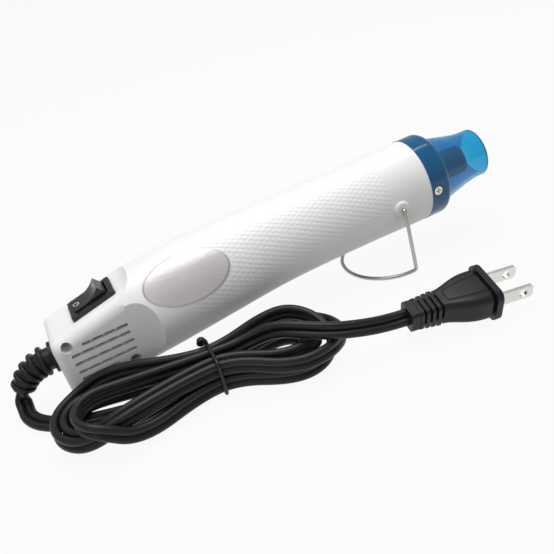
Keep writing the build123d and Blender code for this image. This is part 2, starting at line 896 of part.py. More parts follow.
def flat_cord(width, thick, origin, heading, across_dir):
    """Section of the flat twin cord."""
    return Plane(origin=origin, x_dir=across_dir, z_dir=heading) * SlotOverall(width, thick)


def cord_core():
    """The cord through the relief, as far as the clamp."""
    section = flat_cord(cord_width, cord_thick, (-cord_inside, 0, cord_z), (-1, 0, 0), (0, 1, 0))
    return sweep(section, path=inlet_path())


def relief():
    """Ribbed boot, locked in the rear wall."""
    steps = relief_ribs
    core_sections = []
    for index in range(steps + 1):
        share = index / steps
        radius = relief_root * relief_core_share + (relief_tip - relief_root * relief_core_share) * share
        core_sections.append(relief_plane(relief_turn * share) * Circle(radius))
    form = loft(core_sections)
    form = form + rod(-relief_start, -body_length, relief_root * relief_core_share, z=cord_z)
    form = form + rod(-body_length - relief_straight / 2, -body_length, relief_root, z=cord_z)
    form = form + rod(-body_length - overrun, -body_length + wall + overrun, inlet_radius - seat_gap, z=cord_z)
    form = form + rod(-body_length + wall + seat_gap, -body_length + wall + relief_lock, relief_flange, z=cord_z)
    spacing = relief_turn / steps
    for index in range(steps):
        share = (index + 0.5) / steps
        radius = relief_root + (relief_tip + (relief_root - relief_root * relief_core_share) / 2 - relief_root) * share
        thickness = math.radians(spacing) * relief_radius * rib_share
        disc = extrude(relief_plane(relief_turn * share) * Circle(radius), thickness / 2, both=True)
        form = form + fillet(disc.edges().filter_by(GeomType.CIRCLE), rib_round)
    bore = sweep(flat_cord(cord_width + 2 * seat_gap, cord_thick + 2 * seat_gap, (-cord_inside, 0, cord_z),
                           (-1, 0, 0), (0, 1, 0)), path=inlet_path())
    return form - bore


def clamp_bar():
    """Bar that holds the cord down on its shelf."""
    low = cord_z + cord_thick / 2
    bar = block(-clamp_front - clamp_length, -clamp_front, -clamp_half, clamp_half, low, low + clamp_thickness)
    for side in (-1, 1):
        foot = block(-clamp_front - clamp_length, -clamp_front, side * (cord_width / 2 + seat_gap), side * clamp_half,
                     low - cord_thick, low)
        bar = bar + foot
        bar = bar - post(low - cord_thick - overrun, low + clamp_thickness + overrun,
                         clamp_screw_radius + seat_gap, -clamp_front - clamp_length / 2, side * clamp_screw_y)
    return bar


def clamp_screws():
    """Two screws through the bar into the shelf."""
    seat = cord_z + cord_thick / 2 + clamp_thickness
    low = cord_z - cord_thick / 2 - shelf_thickness
    x = -clamp_front - clamp_length / 2
    screws = []
    for y in (-clamp_screw_y, clamp_screw_y):
        screws.append(post(seat, seat + clamp_screw_height, clamp_screw_head, x, y)
                      + post(low, seat, clamp_screw_radius, x, y))
    return screws


# Rectifier board behind the motor

board_front = motor_rear + strip_length
board_rear = board_front + board_thickness


def diodes():
    """Four diodes lying on the board."""
    x = -board_rear - diode_radius - seat_gap
    return [pin(y - diode_length / 2, y + diode_length / 2, diode_radius, x, z) for y, z in diode_places]


def capacitor():
    """Noise capacitor standing on the board."""
    depth, width, height = capacitor_size
    can = block(-board_rear - depth, -board_rear, -width / 2, width / 2, -height / 2 + free_gap,
                height / 2 - free_gap)
    return fillet(can.edges().filter_by(Axis.X), capacitor_round)


# Free cord

E = Vector(1, 0, 0)
W = Vector(-1, 0, 0)
S = Vector(0, -1, 0)
N = Vector(0, 1, 0)


def biarc(p0, t0, p1, t1):
    """Two arcs that join two points along their headings."""
    v = p1 - p0
    t = t0 + t1
    near = 2 * (1 - t0.dot(t1))
    if near < parallel_limit:
        d = v.dot(v) / (4 * v.dot(t1))
    else:
        d = (-v.dot(t) + math.sqrt(v.dot(t) ** 2 + near * v.dot(v))) / near
    middle = (p0 + t0 * d + p1 - t1 * d) * 0.5
    first = TangentArc(p0, middle, tangent=t0)
    second = TangentArc(middle, p1, tangent=first % 1)
    return [first, second]


def hank_stations():
    """Points and headings that the hank's cord goes through."""
    stations = [(Vector(-hank_in, 0, low_right + free_gap), E)]
    for right_slot, right_loop, top, end, bottom, left_slot, left_loop, go_right, go_left in hank_loops:
        r = right_inner + right_loop * end_step
        l = left_inner + left_loop * end_step
        stations.append((Vector(0, right_slot * waist_step, low_waist + go_right * layer), E))
        stations.append((Vector(right_run, r, low_right + top * layer), E))
        stations.append((Vector(right_run + r, 0, low_right + end * layer), S))
        stations.append((Vector(right_run, -r, low_right + bottom * layer), W))
        stations.append((Vector(0, left_slot * waist_step, low_waist + go_left * layer), W))
        stations.append((Vector(-left_run, -l, low_left + go_left * layer), W))
        stations.append((Vector(-left_run - l, 0, low_left + go_left * layer), N))
        stations.append((Vector(-left_run, l, low_left + go_left * layer), E))
    out = math.radians(hank_out_turn)
    stations.append((Vector(0, 0, low_waist + layer), E))
    stations.append((Vector(hank_out, hank_out_y, low_right + layer), Vector(math.cos(out), math.sin(out), 0)))
    return stations


def hank_path():
    """The hank's line, all in arcs."""
    stations = hank_stations()
    edges = []
    for (p0, t0), (p1, t1) in zip(stations, stations[1:]):
        edges += biarc(p0, t0, p1, t1)
    return edges


hank_place = Location((hank_x, hank_y, 0), (0, 0, hank_turn))


def hank(edges):
    """The wound cord, standing on its edge."""
    section = Plane(origin=edges[0] @ 0, x_dir=(0, 1, 0), z_dir=(1, 0, 0)) * SlotOverall(
        cord_width, cord_thick, rotation=90)
    return sweep(section, path=Wire(edges))


def hank_tie():
    """Wire tie round the waist of the hank, its ends curled together on top."""
    clear = cord_thick / 2 + tie_clear + tie_radius
    round_rise = cord_width / 2 - cord_thick / 2
    side = tie_slots * waist_step
    shoulder = Vector(side, low_waist + round_rise)
    crown = Vector(side - waist_step, low_waist + layer + round_rise)
    slope = (crown - shoulder).normalized()
    out = Vector(slope.Y, -slope.X) * clear
    high = crown.Y + clear
    bend_low = shoulder + out - slope * ((shoulder.X + out.X - side - clear) / slope.X)
    bend_high = crown + out + slope * ((high - crown.Y - out.Y) / slope.Y)
    low = low_waist - round_rise - cord_thick / 2 - tie_low_clear - tie_radius
    corners = [(-side - clear, low), (side + clear, low), (bend_low.X, bend_low.Y), (bend_high.X, bend_high.Y),
               (-side - clear, high)]
    path = FilletPolyline(*[Vector(0, y, z) for y, z in corners], radius=clear, close=True)
    start = path @ 0
    loop = sweep(Plane(origin=start, z_dir=path % 0) * Circle(tie_radius), path=path)
    curl = Location((0, bend_high.X, high + tie_curl), (90, 0, 0)) * Torus(tie_curl, tie_radius)
    return loop + curl


def route_radii(points):
    """Radius for each corner of a cord's route, from its shorter run and half its turn."""
    radii = []
    for a, b, c in zip(points, points[1:], points[2:]):
        before, after = b - a, c - b
        turn = math.radians(before.get_angle(after))
        radii.append(corner_share * min(before.length, after.length) / math.tan(turn / 2))
    return radii


def route_cord(points, outline):
    """Cord along a route of straight runs and arcs."""
    radii = route_radii(points)
    path = FilletPolyline(*points, radius=radii)
    heading = points[1] - points[0]
    section = Plane(origin=points[0], x_dir=heading.cross(Vector(0, 0, 1)), z_dir=heading) * outline
    return sweep(section, path=path)


# Plug: its own x along the blades, zero at the flange's face

def plug_body():
    """Moulded grip with flange, ribs and rear block."""
    grip_length = plug_rib_start - flange_depth
    flange = extrude(across(-flange_depth) * RectangleRounded(flange_width, flange_height, flange_round),
                     flange_depth)
    flange = fillet(flange.faces().sort_by(Axis.X)[-1].edges(), flange_depth * flange_edge_share)
    form = flange
    for shares in (grip_shares, panel_shares):
        sections = []
        for along, wide, high in shares:
            width = wide * flange_width
            height = high * flange_height
            sections.append(across(-flange_depth - along * grip_length) * RectangleRounded(
                width, height, min(width, height) * grip_round_share))
        form = form + loft(sections)
    groove = extrude(across(-flange_depth - groove_width) * (
        Rectangle(flange_width, flange_height)
        - RectangleRounded(flange_width * grip_shares[0][1] - groove_depth,
                           flange_height * grip_shares[0][2] - groove_depth, flange_round)), groove_width)
    form = form - groove
    core_end = -plug_length
    core = extrude(across(core_end) * RectangleRounded(2 * block_half_width - groove_depth,
                                                       2 * block_half_height - groove_depth, block_half_height / 2),
                   plug_length - plug_rib_start + overrun)
    form = form + core
    for index in range(plug_rib_count):
        share = index / plug_rib_count
        half_width = rib_half_width + (block_half_width - rib_half_width) * share
        half_height = rib_half_height + (block_half_height - rib_half_height) * share
        x = -plug_rib_start - groove_width - index * plug_rib_pitch
        form = form + extrude(across(x - plug_rib_width) * RectangleRounded(
            2 * half_width, 2 * half_height, half_height * rib_round_share), plug_rib_width)
    rear = extrude(across(-plug_length) * RectangleRounded(
        2 * block_half_width, 2 * block_half_height, block_half_height * rib_round_share), block_length)
    form = form + rear
    for y in (-blade_spacing / 2, blade_spacing / 2):
        form = form - block(-flange_depth, overrun, y - blade_sheet / 2 - seat_gap, y + blade_sheet / 2 + seat_gap,
                            -blade_width / 2 - seat_gap, blade_width / 2 + seat_gap)
    return form


def plug_blades():
    """Two blades with holes, set in the flange."""
    blades = []
    for y in (-blade_spacing / 2, blade_spacing / 2):
        blade = block(-flange_depth, blade_length, y - blade_sheet / 2, y + blade_sheet / 2,
                      -blade_width / 2, blade_width / 2)
        tips = blade.edges().filter_by(Axis.Y).group_by(Axis.X)[-1]
        blade = chamfer(tips, blade_width * blade_tip_share)
        blades.append(blade - pin(y - blade_sheet, y + blade_sheet, blade_hole, blade_hole_x, 0))
    return blades


# Setting down: nose up, with the tail's lowest point and the stand's loop on the table

lean = Rot(0, -nose_up, 0)
tail_box = (lean * outer_form).bounding_box()
mouth_box = (lean * rod(bell_length - overrun, bell_length, mouth_radius)).bounding_box()
rest = Location((-(tail_box.min.X + mouth_box.max.X) / 2, 0, -tail_box.min.Z)) * lean


def stand():
    """Bent wire: two legs from the pivots and a loop flat on the table."""
    pivot = (rest * Pos(-pivot_x, 0, pivot_z)).position
    foot_x = pivot.X + leg_lean
    loop_x = foot_x - loop_straight
    points = [
        Vector(pivot.X, stand_wire_inside, pivot.Z),
        Vector(pivot.X, leg_y, pivot.Z),
        Vector(foot_x, leg_y, wire_radius),
        Vector(loop_x, leg_y, wire_radius),
    ]
    one_side = FilletPolyline(*points, radius=wire_bend)
    other_side = FilletPolyline(*[Vector(p.X, -p.Y, p.Z) for p in reversed(points)], radius=wire_bend)
    loop = ThreePointArc(points[-1], (loop_x - leg_y, 0, wire_radius), (loop_x, -leg_y, wire_radius))
    path = Wire(one_side.edges() + loop.edges() + other_side.edges())
    return sweep(Plane(origin=points[0], z_dir=(0, 1, 0)) * Circle(wire_radius), path=path)


save("housing_right", rest * housing_right)
save("housing_left", rest * housing_left)
save("body_screws", *[rest * screw for screw in body_screws()])
save("nozzle", rest * nozzle())
save("collar_screws", *[rest * screw for screw in collar_screws()])
save("switch_body", rest * switch_place * switch_body())
save("switch_rocker", rest * switch_place * rocker_off * rocker())
save("switch_plunger", rest * switch_place * rocker_off * plunger())
save("switch_contact", rest * switch_place * contact_off * contact())
save("switch_terminals", *[rest * switch_place * tab for tab in terminals()])
save("motor_can", rest * motor_can())
save("motor_end_cap", rest * motor_cap())
save("motor_magnets", rest * magnets())
save("motor_bushes", *[rest * bush for bush in bushes()])
save("motor_brushes", *[rest * brush for brush in brushes()])
save("motor_shaft", rest * rod(-motor_rear - shaft_tail, -shaft_front, shaft_radius))
save("motor_armature", rest * armature())
save("motor_windings", *[rest * coil for coil in windings()])
save("motor_commutator", *[rest * piece for piece in commutator()])
save("fan_wheel", rest * fan())
save("motor_bracket", rest * bracket())
save("motor_screws", *[rest * screw for screw in motor_screws()])
save("fan_duct", rest * duct())
save("heater_tube", rest * heater_tube())
save("mica_sleeve", rest * tube(-sleeve_rear, sleeve_front, tube_radius - tube_wall - seat_gap,
                                tube_radius - tube_wall - seat_gap - sleeve_wall))
save("heater_former", rest * heater_former())
save("heater_coil", rest * heater_coil())
save("tube_ring", rest * tube(0, ring_thickness, spigot_bore - seat_gap, tube_radius + seat_gap))
cutout_seat = former_sheet / 2 + cutout_radius + seat_gap
save("thermal_cutout", rest * rod(-cutout_front - cutout_length, -cutout_front, cutout_radius,
                                  cutout_seat, cutout_seat))
save("rectifier_board", rest * rod(-board_rear, -board_front, board_radius))
save("rectifier_diodes", *[rest * diode for diode in diodes()])
save("noise_capacitor", rest * capacitor())
save("strain_relief", rest * relief())
save("cord_core", rest * cord_core())
save("cord_clamp", rest * clamp_bar())
save("clamp_screws", *[rest * screw for screw in clamp_screws()])
save("stand", stand())

hank_edges = hank_path()
save("cord_hank", hank_place * hank(hank_edges))
save("hank_tie", hank_place * hank_tie())
tip_point, tip_heading = relief_point(relief_turn)
tip = (rest * Pos(*tip_point)).position
tip_way = (rest * Pos(*(tip_point + tip_heading * tip_straight))).position - tip
hank_start = (hank_place * Pos(*(hank_edges[0] @ 0))).position
hank_end = (hank_place * Pos(*(hank_edges[-1] @ 1))).position
start_way = Vector(math.cos(math.radians(hank_turn)), math.sin(math.radians(hank_turn)), 0)
end_turn = math.radians(hank_turn + hank_out_turn)
end_way = Vector(math.cos(end_turn), math.sin(end_turn), 0)
lead_points = [tip, tip + tip_way] + [Vector(*point) for point in lead_route]
lead_points += [hank_start - start_way * cord_width, hank_start]
save("cord_lead", route_cord(lead_points, Circle(lead_radius)))

plug_place = Location((plug_x, plug_y, 0)) * Rot(0, 0, plug_turn) * Rot(0, plug_dip, 0) * Rot(plug_roll, 0, 0)
grip = plug_body()
plug_lift = Pos(0, 0, -(plug_place * grip).bounding_box().min.Z)
plug_place = plug_lift * plug_place
save("plug_body", plug_place * grip)
save("plug_blades", *[plug_place * blade for blade in plug_blades()])
plug_rear = (plug_place * Pos(-plug_length, 0, 0)).position
plug_way = plug_rear - (plug_place * Pos(-plug_length - cord_width, 0, 0)).position
tail_points = [hank_end, hank_end + end_way * cord_width] + [Vector(*point) for point in tail_route]
tail_points += [plug_rear - plug_way, plug_rear]
save("cord_tail", route_cord(tail_points, SlotOverall(cord_width, cord_thick)))
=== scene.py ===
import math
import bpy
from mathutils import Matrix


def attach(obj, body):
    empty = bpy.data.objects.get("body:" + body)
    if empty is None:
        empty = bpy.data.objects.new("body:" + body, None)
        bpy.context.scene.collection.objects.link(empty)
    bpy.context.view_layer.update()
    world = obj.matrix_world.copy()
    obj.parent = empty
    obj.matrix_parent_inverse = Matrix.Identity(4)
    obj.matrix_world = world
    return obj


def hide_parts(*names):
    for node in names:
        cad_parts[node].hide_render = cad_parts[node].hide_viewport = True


bl_info = {
    "name": "Embossing heat tool",
    "version": (1, 0, 0),
    "blender": (4, 5, 0),
    "location": "3D View > Sidebar > Heat tool",
    "description": "Finishes the embossing heat tool over its packed frame",
    "category": "Object",
}

import bmesh
import bpy
from bpy.props import FloatProperty, FloatVectorProperty, PointerProperty
from mathutils import Matrix, Vector

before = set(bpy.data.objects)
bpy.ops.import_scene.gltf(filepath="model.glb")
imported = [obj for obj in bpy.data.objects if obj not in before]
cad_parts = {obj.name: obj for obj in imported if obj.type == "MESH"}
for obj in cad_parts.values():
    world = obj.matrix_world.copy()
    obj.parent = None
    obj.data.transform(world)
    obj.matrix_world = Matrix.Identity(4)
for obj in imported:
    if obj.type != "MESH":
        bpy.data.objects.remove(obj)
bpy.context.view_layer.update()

MM = 0.001

# Setting down: the tool's own zero is on the barrel's axis, where the white body meets the nozzle
NOSE_UP = math.radians(2.0)
TOOL_X = 71.5175
TOOL_Z = 34.8276
TOOL = Matrix.Translation((TOOL_X * MM, 0.0, TOOL_Z * MM)) @ Matrix.Rotation(-NOSE_UP, 4, "Y")

# Fine diamond net on the grip: pitch, angle to the barrel and the panel that it fills
NET_PITCH = 2.05
NET_ANGLE = math.radians(28.0)
NET_WEAK_SHARE = 0.7
NET_RADIUS = 19.8
NET_DEPTH = 0.10
NET_FRONT = -20.5
NET_REAR = -126.0
NET_TOP = math.radians(70.0)
NET_LOW = math.radians(-2.0)
NET_LOW_REAR = math.radians(-26.0)
NET_FADE = math.radians(5.0)

# Oval label's centre, tilt round the barrel, lean, half sizes and thickness
LABEL_PLACE = (-119.0, -14.85, 9.04)
LABEL_TILT = 50.0
LABEL_LEAN = -2.2
LABEL_HALVES = (19.2, 10.9)
LABEL_THICK = 0.18
PRESS_FROM = 12.0

# Nozzle: where its collar ends and its mouth begins; the collar is painted dark as shade of the ring behind
# it, and the mouth is painted light for the white seen through its rim
COLLAR_END = 11.4
MOUTH_START = 24.0

# Switch: rocker's pivot, slope of its land and places of its marks
ROCKER_PLACE = (-86.654, 0.0, 38.315)
ROCKER_SLOPE = -29.5
MARK_AT = 5.4
MARK_STROKE = 0.34
MARK_RADIUS = 1.35
MARK_THICK = 0.04

# Wire tie round the hank's waist: wire, gap to the cord, and the curl that stands on its top
TIE_RADIUS = 0.8
TIE_GAP = 0.25
TIE_TURN = 1.7
TIE_STEP = 0.22
TIE_KNOT_POINTS = 17
TIE_KNOT_ANGLE = 45.0
TIE_EDGE_SHARES = (0.1, 0.5, 0.9)

# Photograph's camera, in millimetres and pixels
CAMERA_PLACE = (-86.54, -271.26, 182.65)
CAMERA_RIGHT = (0.8932, -0.3989, -0.2077)
CAMERA_UP = (0.3753, 0.4067, 0.8329)
FOCAL_PIXELS = 700.0
PHOTO_PIXELS = 554.0
SENSOR_WIDTH = 36.0

# Studio, in metres: nearest distance in view, the floor, and each lamp's name, size, place and aim
CLIP_START = 0.01
FLOOR_SIZE = 4.0
FLOOR_GREY = 0.5
FLOOR_WHITE_SHARE = 0.93
LAMPS = [
    ("key", 0.6, (0.04, 0.10, 0.78), (-0.02, 0.0, 0.03)),
    ("fill", 0.4, (-0.5, -0.55, 0.4), (-0.03, 0.0, 0.03)),
]

# Flat twin cord and its route, in millimetres: the lead, the tied hank, and the run to the plug
CORD_WIDTH = 7.2
CORD_THICK = 3.6
CORD_GROOVE = 0.55
RELIEF_TIP = (-127.49, 0.0, 10.87)
RELIEF_WAY = (-0.4695, 0.0, -0.8829)
RELIEF_STRAIGHT = 4.3
LEAD_ROUTE = [
    (-129.5, -3.5, 3.9),
    (-129.1, -9.5, 2.9),
    (-125.7, -16.0, 2.7),
    (-119.5, -21.6, 2.5),
    (-110.5, -26.6, 2.35),
    (-99.0, -30.8, 2.35),
    (-87.5, -34.8, 3.0),
]
TAIL_ROUTE = [
    (-33.6, -40.1, 15.5),
    (-24.8, -45.5, 19.2),
    (-16.1, -53.4, 19.2),
    (-6.4, -60.0, 17.5),
    (7.0, -63.2, 14.6),
]
HANK_X = -51.5
HANK_Y = -38.3
HANK_TURN = -2.5
HANK_IN = 25.0
WAIST_STEP = 4.4
LAYER = 7.7
LOW_WAIST = 5.6
LOW_RIGHT = 3.7
# each turn: its slot at the waist going right, layers of the right end's top, end and bottom, its slot at the
# waist going left, and its layers at the waist going right and left
HANK_LOOPS = [
    (0, 0, 0, 0, -1, 0, 0),
    (1, 0, 0, 1, -1, 0, 1),
    (2, 0, 0, 1, -2, 0, 1),
    (1, 1, 0, 0, -2, 1, 0),
]
WAIST_REACH_SHARE = 0.2
# each turn's left end: middle, radius, and heights from its near run to its far run
LEFT_ENDS = [
    (-50.5, 1.5, 9.3, (5.9, 8.0, 8.0, 8.0, 8.0, 6.5)),
    (-50.5, 1.5, 13.2, (13.4, 8.0, 8.0, 8.0, 8.0, 6.5)),
    (-50.5, 1.5, 17.0, (13.2, 8.0, 8.0, 8.0, 8.0, 14.0)),
    (-46.0, -7.9, 11.6, (5.2, 15.6, 15.6, 15.6, 15.6, 14.5)),
]
# each turn's right end: middle and radius
RIGHT_ENDS = [(30.0, -1.9, 9.2), (31.0, -1.9, 13.4), (33.5, -2.6, 21.2), (32.5, -2.4, 17.3)]

# Label's grey line, as shares of the way from its middle to its edge
LABEL_LINE = (0.955, 0.985)
LABEL_LINE_GREY = (0.36, 0.35, 0.35)

# Bell: turn from collar to bell, length of the mouth and its colour, which is painted light for the white
# seen through the clear rim, and clearness of collar and bell, kept low in the collar as painted shade of the
# ring behind it
BELL_START = (-0.4, 0.6)
MOUTH_LENGTH = 5.0
MOUTH_PAINTED_LIGHT = (0.006, 0.36, 0.66)
COLLAR_CLEAR = 0.2
BELL_CLEAR = 0.88

# Heater tube: where it starts to turn darker towards its front end and where that is full, and the darker
# colour
DARK_FRONT_RUN = (8.0, 27.0)
DARK_FRONT_BLUE = (0.07, 0.08, 0.13)

# Every finish: scale of its slow changes, and how far its roughness goes up and down
SLOW_SCALE = 70.0
ROUGH_SPREAD = 0.06
ROUGH_LEAST = 0.02

# Angles under which added pieces are shaded smooth, in degrees
CORD_SMOOTH = 40.0
FLAT_SMOOTH = 50.0
WIRE_SMOOTH = 60.0

# Smooth steps along the cord's line, and round each lobe of its outline
LINE_STEPS = 12
LOBE_STEPS = 13

# Half thickness in the middle of the cord's groove, as a share of that at its edges
GROOVE_SHARE = 0.9

# Roll of the flat cord along its line: runs in millimetres, turns in degrees
FLAT_RUN = 68.0
STAND_UP_RUN = 40.0
LOOSE_RUN = 120.0
HELD_ROLL = 90.0
LOOSE_ROLL = 36.0
SWAY_ROLL = 1.5
SWAY_RUN = 21.0
LEAN_ROLL = 16.0
LEAN_IN_RUN = 20.0
LEAN_HOLD_RUN = 26.0
LEAN_OUT_RUN = 14.0

# Plug's place, in millimetres and degrees
PLUG_X = 63.0
PLUG_Y = -68.2
PLUG_Z = 9.2117
PLUG_TURN = -6.0
PLUG_DIP = 3.5
PLUG_ROLL = 12.0
PLUG_LENGTH = 38.0
PLUG = (
    Matrix.Translation((PLUG_X * MM, PLUG_Y * MM, PLUG_Z * MM))
    @ Matrix.Rotation(math.radians(PLUG_TURN), 4, "Z")
    @ Matrix.Rotation(math.radians(PLUG_DIP), 4, "Y")
    @ Matrix.Rotation(math.radians(PLUG_ROLL), 4, "X")
)


def deselect():
    """Leave nothing selected, so that an operator acts on one piece."""
    for item in bpy.context.selected_objects:
        item.select_set(False)


def make_active(piece):
    """Select one piece alone."""
    deselect()
    piece.select_set(True)
    bpy.context.view_layer.objects.active = piece


def apply_modifier(piece, name, kind, **settings):
    """Add a modifier with its settings and apply it."""
    make_active(piece)
    modifier = piece.modifiers.new(name, kind)
    for key, value in settings.items():
        setattr(modifier, key, value)
    bpy.ops.object.modifier_apply(modifier=modifier.name)


def settle(piece, smooth):
    """Put a piece's place in its mesh, and shade it smooth below an angle in degrees."""
    make_active(piece)
    bpy.ops.object.transform_apply(location=True, rotation=True, scale=True)
    bpy.ops.object.shade_smooth_by_angle(angle=math.radians(smooth))


def press_on(piece, target, thick):
    """Press a thin flat piece onto a CAD node, along the piece's own z, and give it a thickness."""
    apply_modifier(piece, "press", "SHRINKWRAP", wrap_method="PROJECT", use_project_z=True,
                   use_negative_direction=True, use_positive_direction=False, target=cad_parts[target],
                   offset=thick * MM / 4)
    apply_modifier(piece, "wall", "SOLIDIFY", thickness=thick * MM, offset=1.0)


# Materials


def add_node(tree, kind, sockets=None, **settings):
    """Shader node with its settings, and each named socket set to a value or linked to an output."""
    node = tree.nodes.new(kind)
    for key, value in settings.items():
        setattr(node, key, value)
    for key, value in (sockets or {}).items():
        if isinstance(value, bpy.types.NodeSocket):
            tree.links.new(value, node.inputs[key])
        else:
            node.inputs[key].default_value = value
    return node


def sum_up(tree, operation, *values):
    """Math node's result."""
    return add_node(tree, "ShaderNodeMath", dict(enumerate(values)), operation=operation).outputs[0]


def spread(tree, value, low, high, to_low=0.0, to_high=1.0, kind="LINEAR"):
    """Value carried from one range to another."""
    sockets = {"Value": value, "From Min": low, "From Max": high, "To Min": to_low, "To Max": to_high}
    return add_node(tree, "ShaderNodeMapRange", sockets, interpolation_type=kind).outputs[0]


def mix_colours(tree, share, first, second, blend="MIX"):
    """Colour between two colours."""
    return add_node(tree, "ShaderNodeMix", {0: share, 6: first, 7: second}, data_type="RGBA",
                    blend_type=blend).outputs[2]


def bump(tree, height, distance, strength):
    """Normal raised by a height, over a distance in millimetres."""
    sockets = {"Height": height, "Distance": distance * MM, "Strength": strength}
    return add_node(tree, "ShaderNodeBump", sockets).outputs[0]


def opaque(colour):
    """Colour with its alpha."""
    return (*colour, 1.0)


def start_material(name):
    """Empty node material, its tree and its Object coordinates."""
    material = bpy.data.materials.new(name)
    material.use_nodes = True
    tree = material.node_tree
    tree.nodes.clear()
    return material, tree, add_node(tree, "ShaderNodeTexCoord").outputs["Object"]


def tool_place(tree, place):
    """Place in the tool's own frame, in millimetres, as x, y and z."""
    turn = add_node(tree, "ShaderNodeMapping", {
        "Vector": place,
        "Location": (TOOL_X * MM, 0.0, TOOL_Z * MM),
        "Rotation": (0.0, -NOSE_UP, 0.0),
        "Scale": (MM, MM, MM),
    }, vector_type="TEXTURE")
    return add_node(tree, "ShaderNodeSeparateXYZ", {0: turn.outputs[0]}).outputs


def finish(name, colour, roughness, grain=0.4, depth=0.01, tint=0.05, stretch=(1.0, 1.0, 1.0), pattern=None,
           **shine):
    """Material with fine grain, uneven gloss and slight changes of colour, and its pattern if it has one."""
    material, tree, place = start_material(name)
    turn = add_node(tree, "ShaderNodeMapping", {"Vector": place, "Scale": stretch}).outputs[0]
    fine_sockets = {"Vector": turn, "Scale": 1.0 / (grain * MM), "Detail": 3.0}
    fine = add_node(tree, "ShaderNodeTexNoise", fine_sockets).outputs[0]
    wide_sockets = {"Vector": place, "Scale": SLOW_SCALE, "Detail": 2.0}
    wide = add_node(tree, "ShaderNodeTexNoise", wide_sockets).outputs[0]
    base = opaque(colour)
    sockets = {}
    normal = None
    if pattern:
        base, normal, sockets = pattern(tree, place, base)
    shade = spread(tree, wide, 0.3, 0.7, 1.0 - tint, 1.0 + tint)
    sockets["Base Color"] = mix_colours(tree, 1.0, base, shade, "MULTIPLY")
    glossy = max(roughness - ROUGH_SPREAD, ROUGH_LEAST)
    sockets["Roughness"] = spread(tree, fine, 0.25, 0.75, glossy, roughness + ROUGH_SPREAD)
    relief = {"Height": fine, "Distance": depth * MM, "Strength": 0.5}
    if normal:
        relief["Normal"] = normal
    sockets["Normal"] = add_node(tree, "ShaderNodeBump", relief).outputs[0]
    for key, value in shine.items():
        sockets[key.replace("_", " ").title().replace("Ior", "IOR")] = value
    shader = add_node(tree, "ShaderNodeBsdfPrincipled", sockets)
    add_node(tree, "ShaderNodeOutputMaterial", {"Surface": shader.outputs[0]})
    return material


def grip_net(tree, place, base):
    """Fine diamond net on both sides of the grip."""
    x, y, z = tool_place(tree, place)[:3]
    round_angle = sum_up(tree, "ARCTAN2", z, sum_up(tree, "ABSOLUTE", y))
    along = sum_up(tree, "MULTIPLY", x, math.sin(NET_ANGLE) / NET_PITCH)
    across = sum_up(tree, "MULTIPLY", round_angle, NET_RADIUS * math.cos(NET_ANGLE) / NET_PITCH)
    ridges = []
    for operation, floor in (("ADD", 0.0), ("SUBTRACT", 1.0 - NET_WEAK_SHARE)):
        step = sum_up(tree, "PINGPONG", sum_up(tree, operation, across, along), 0.5)
        ridges.append(spread(tree, step, 0.02, 0.34, floor, 1.0, "SMOOTHSTEP"))
    low = spread(tree, x, NET_REAR, NET_FRONT, NET_LOW_REAR, NET_LOW)
    parts = [
        spread(tree, x, NET_FRONT - 1.0, NET_FRONT, 1.0, 0.0, "SMOOTHSTEP"),
        spread(tree, x, NET_REAR, NET_REAR + 14.0, 0.0, 1.0, "SMOOTHSTEP"),
        spread(tree, round_angle, NET_TOP - NET_FADE, NET_TOP, 1.0, 0.0, "SMOOTHSTEP"),
        spread(tree, sum_up(tree, "SUBTRACT", round_angle, low), 0.0, NET_FADE, 0.0, 1.0, "SMOOTHSTEP"),
    ]
    inside = parts[0]
    for part in parts[1:]:
        inside = sum_up(tree, "MULTIPLY", inside, part)
    height = sum_up(tree, "MULTIPLY", sum_up(tree, "MULTIPLY", *ridges), inside)
    return base, bump(tree, height, NET_DEPTH, 1.0), {}


def label_face(tree, place, base):
    """Silvery face with a grey line near its edge."""
    x, y, z = tool_place(tree, place)[:3]
    tilt = math.radians(LABEL_TILT)
    turn = add_node(tree, "ShaderNodeCombineXYZ", {0: x, 1: y, 2: z}).outputs[0]
    spot = add_node(tree, "ShaderNodeMapping", {
        "Vector": turn, "Location": LABEL_PLACE, "Rotation": (tilt, 0.0, 0.0),
        "Scale": (LABEL_HALVES[0], LABEL_HALVES[1], LABEL_HALVES[1]),
    }, vector_type="TEXTURE").outputs[0]
    flat = add_node(tree, "ShaderNodeSeparateXYZ", {0: spot}).outputs
    reach = sum_up(tree, "SQRT", sum_up(tree, "ADD", sum_up(tree, "MULTIPLY", flat[0], flat[0]),
                                        sum_up(tree, "MULTIPLY", flat[1], flat[1])))
    edge = spread(tree, reach, *LABEL_LINE, kind="SMOOTHSTEP")
    return mix_colours(tree, edge, base, opaque(LABEL_LINE_GREY)), None, {}


def blue_moulding(collar):
    """Pattern that paints the nozzle's collar dark, as painted shade of the ring behind it, and its mouth as
    painted light for the white seen through its clear rim.
    """
    def pattern(tree, place, base):
        x = tool_place(tree, place)[0]
        # Collar side of this mask carries the painted shade: dark colour and low clearness
        bell = spread(tree, x, COLLAR_END + BELL_START[0], COLLAR_END + BELL_START[1], kind="SMOOTHSTEP")
        mouth = spread(tree, x, MOUTH_START, MOUTH_START + MOUTH_LENGTH, kind="SMOOTHSTEP")
        # Painted light over the mouth
        painted_mouth_light = mix_colours(tree, mouth, base, opaque(MOUTH_PAINTED_LIGHT))
        clear = {"Transmission Weight": spread(tree, bell, 0.0, 1.0, COLLAR_CLEAR, BELL_CLEAR)}
        return mix_colours(tree, bell, opaque(collar), painted_mouth_light), None, clear
    return pattern


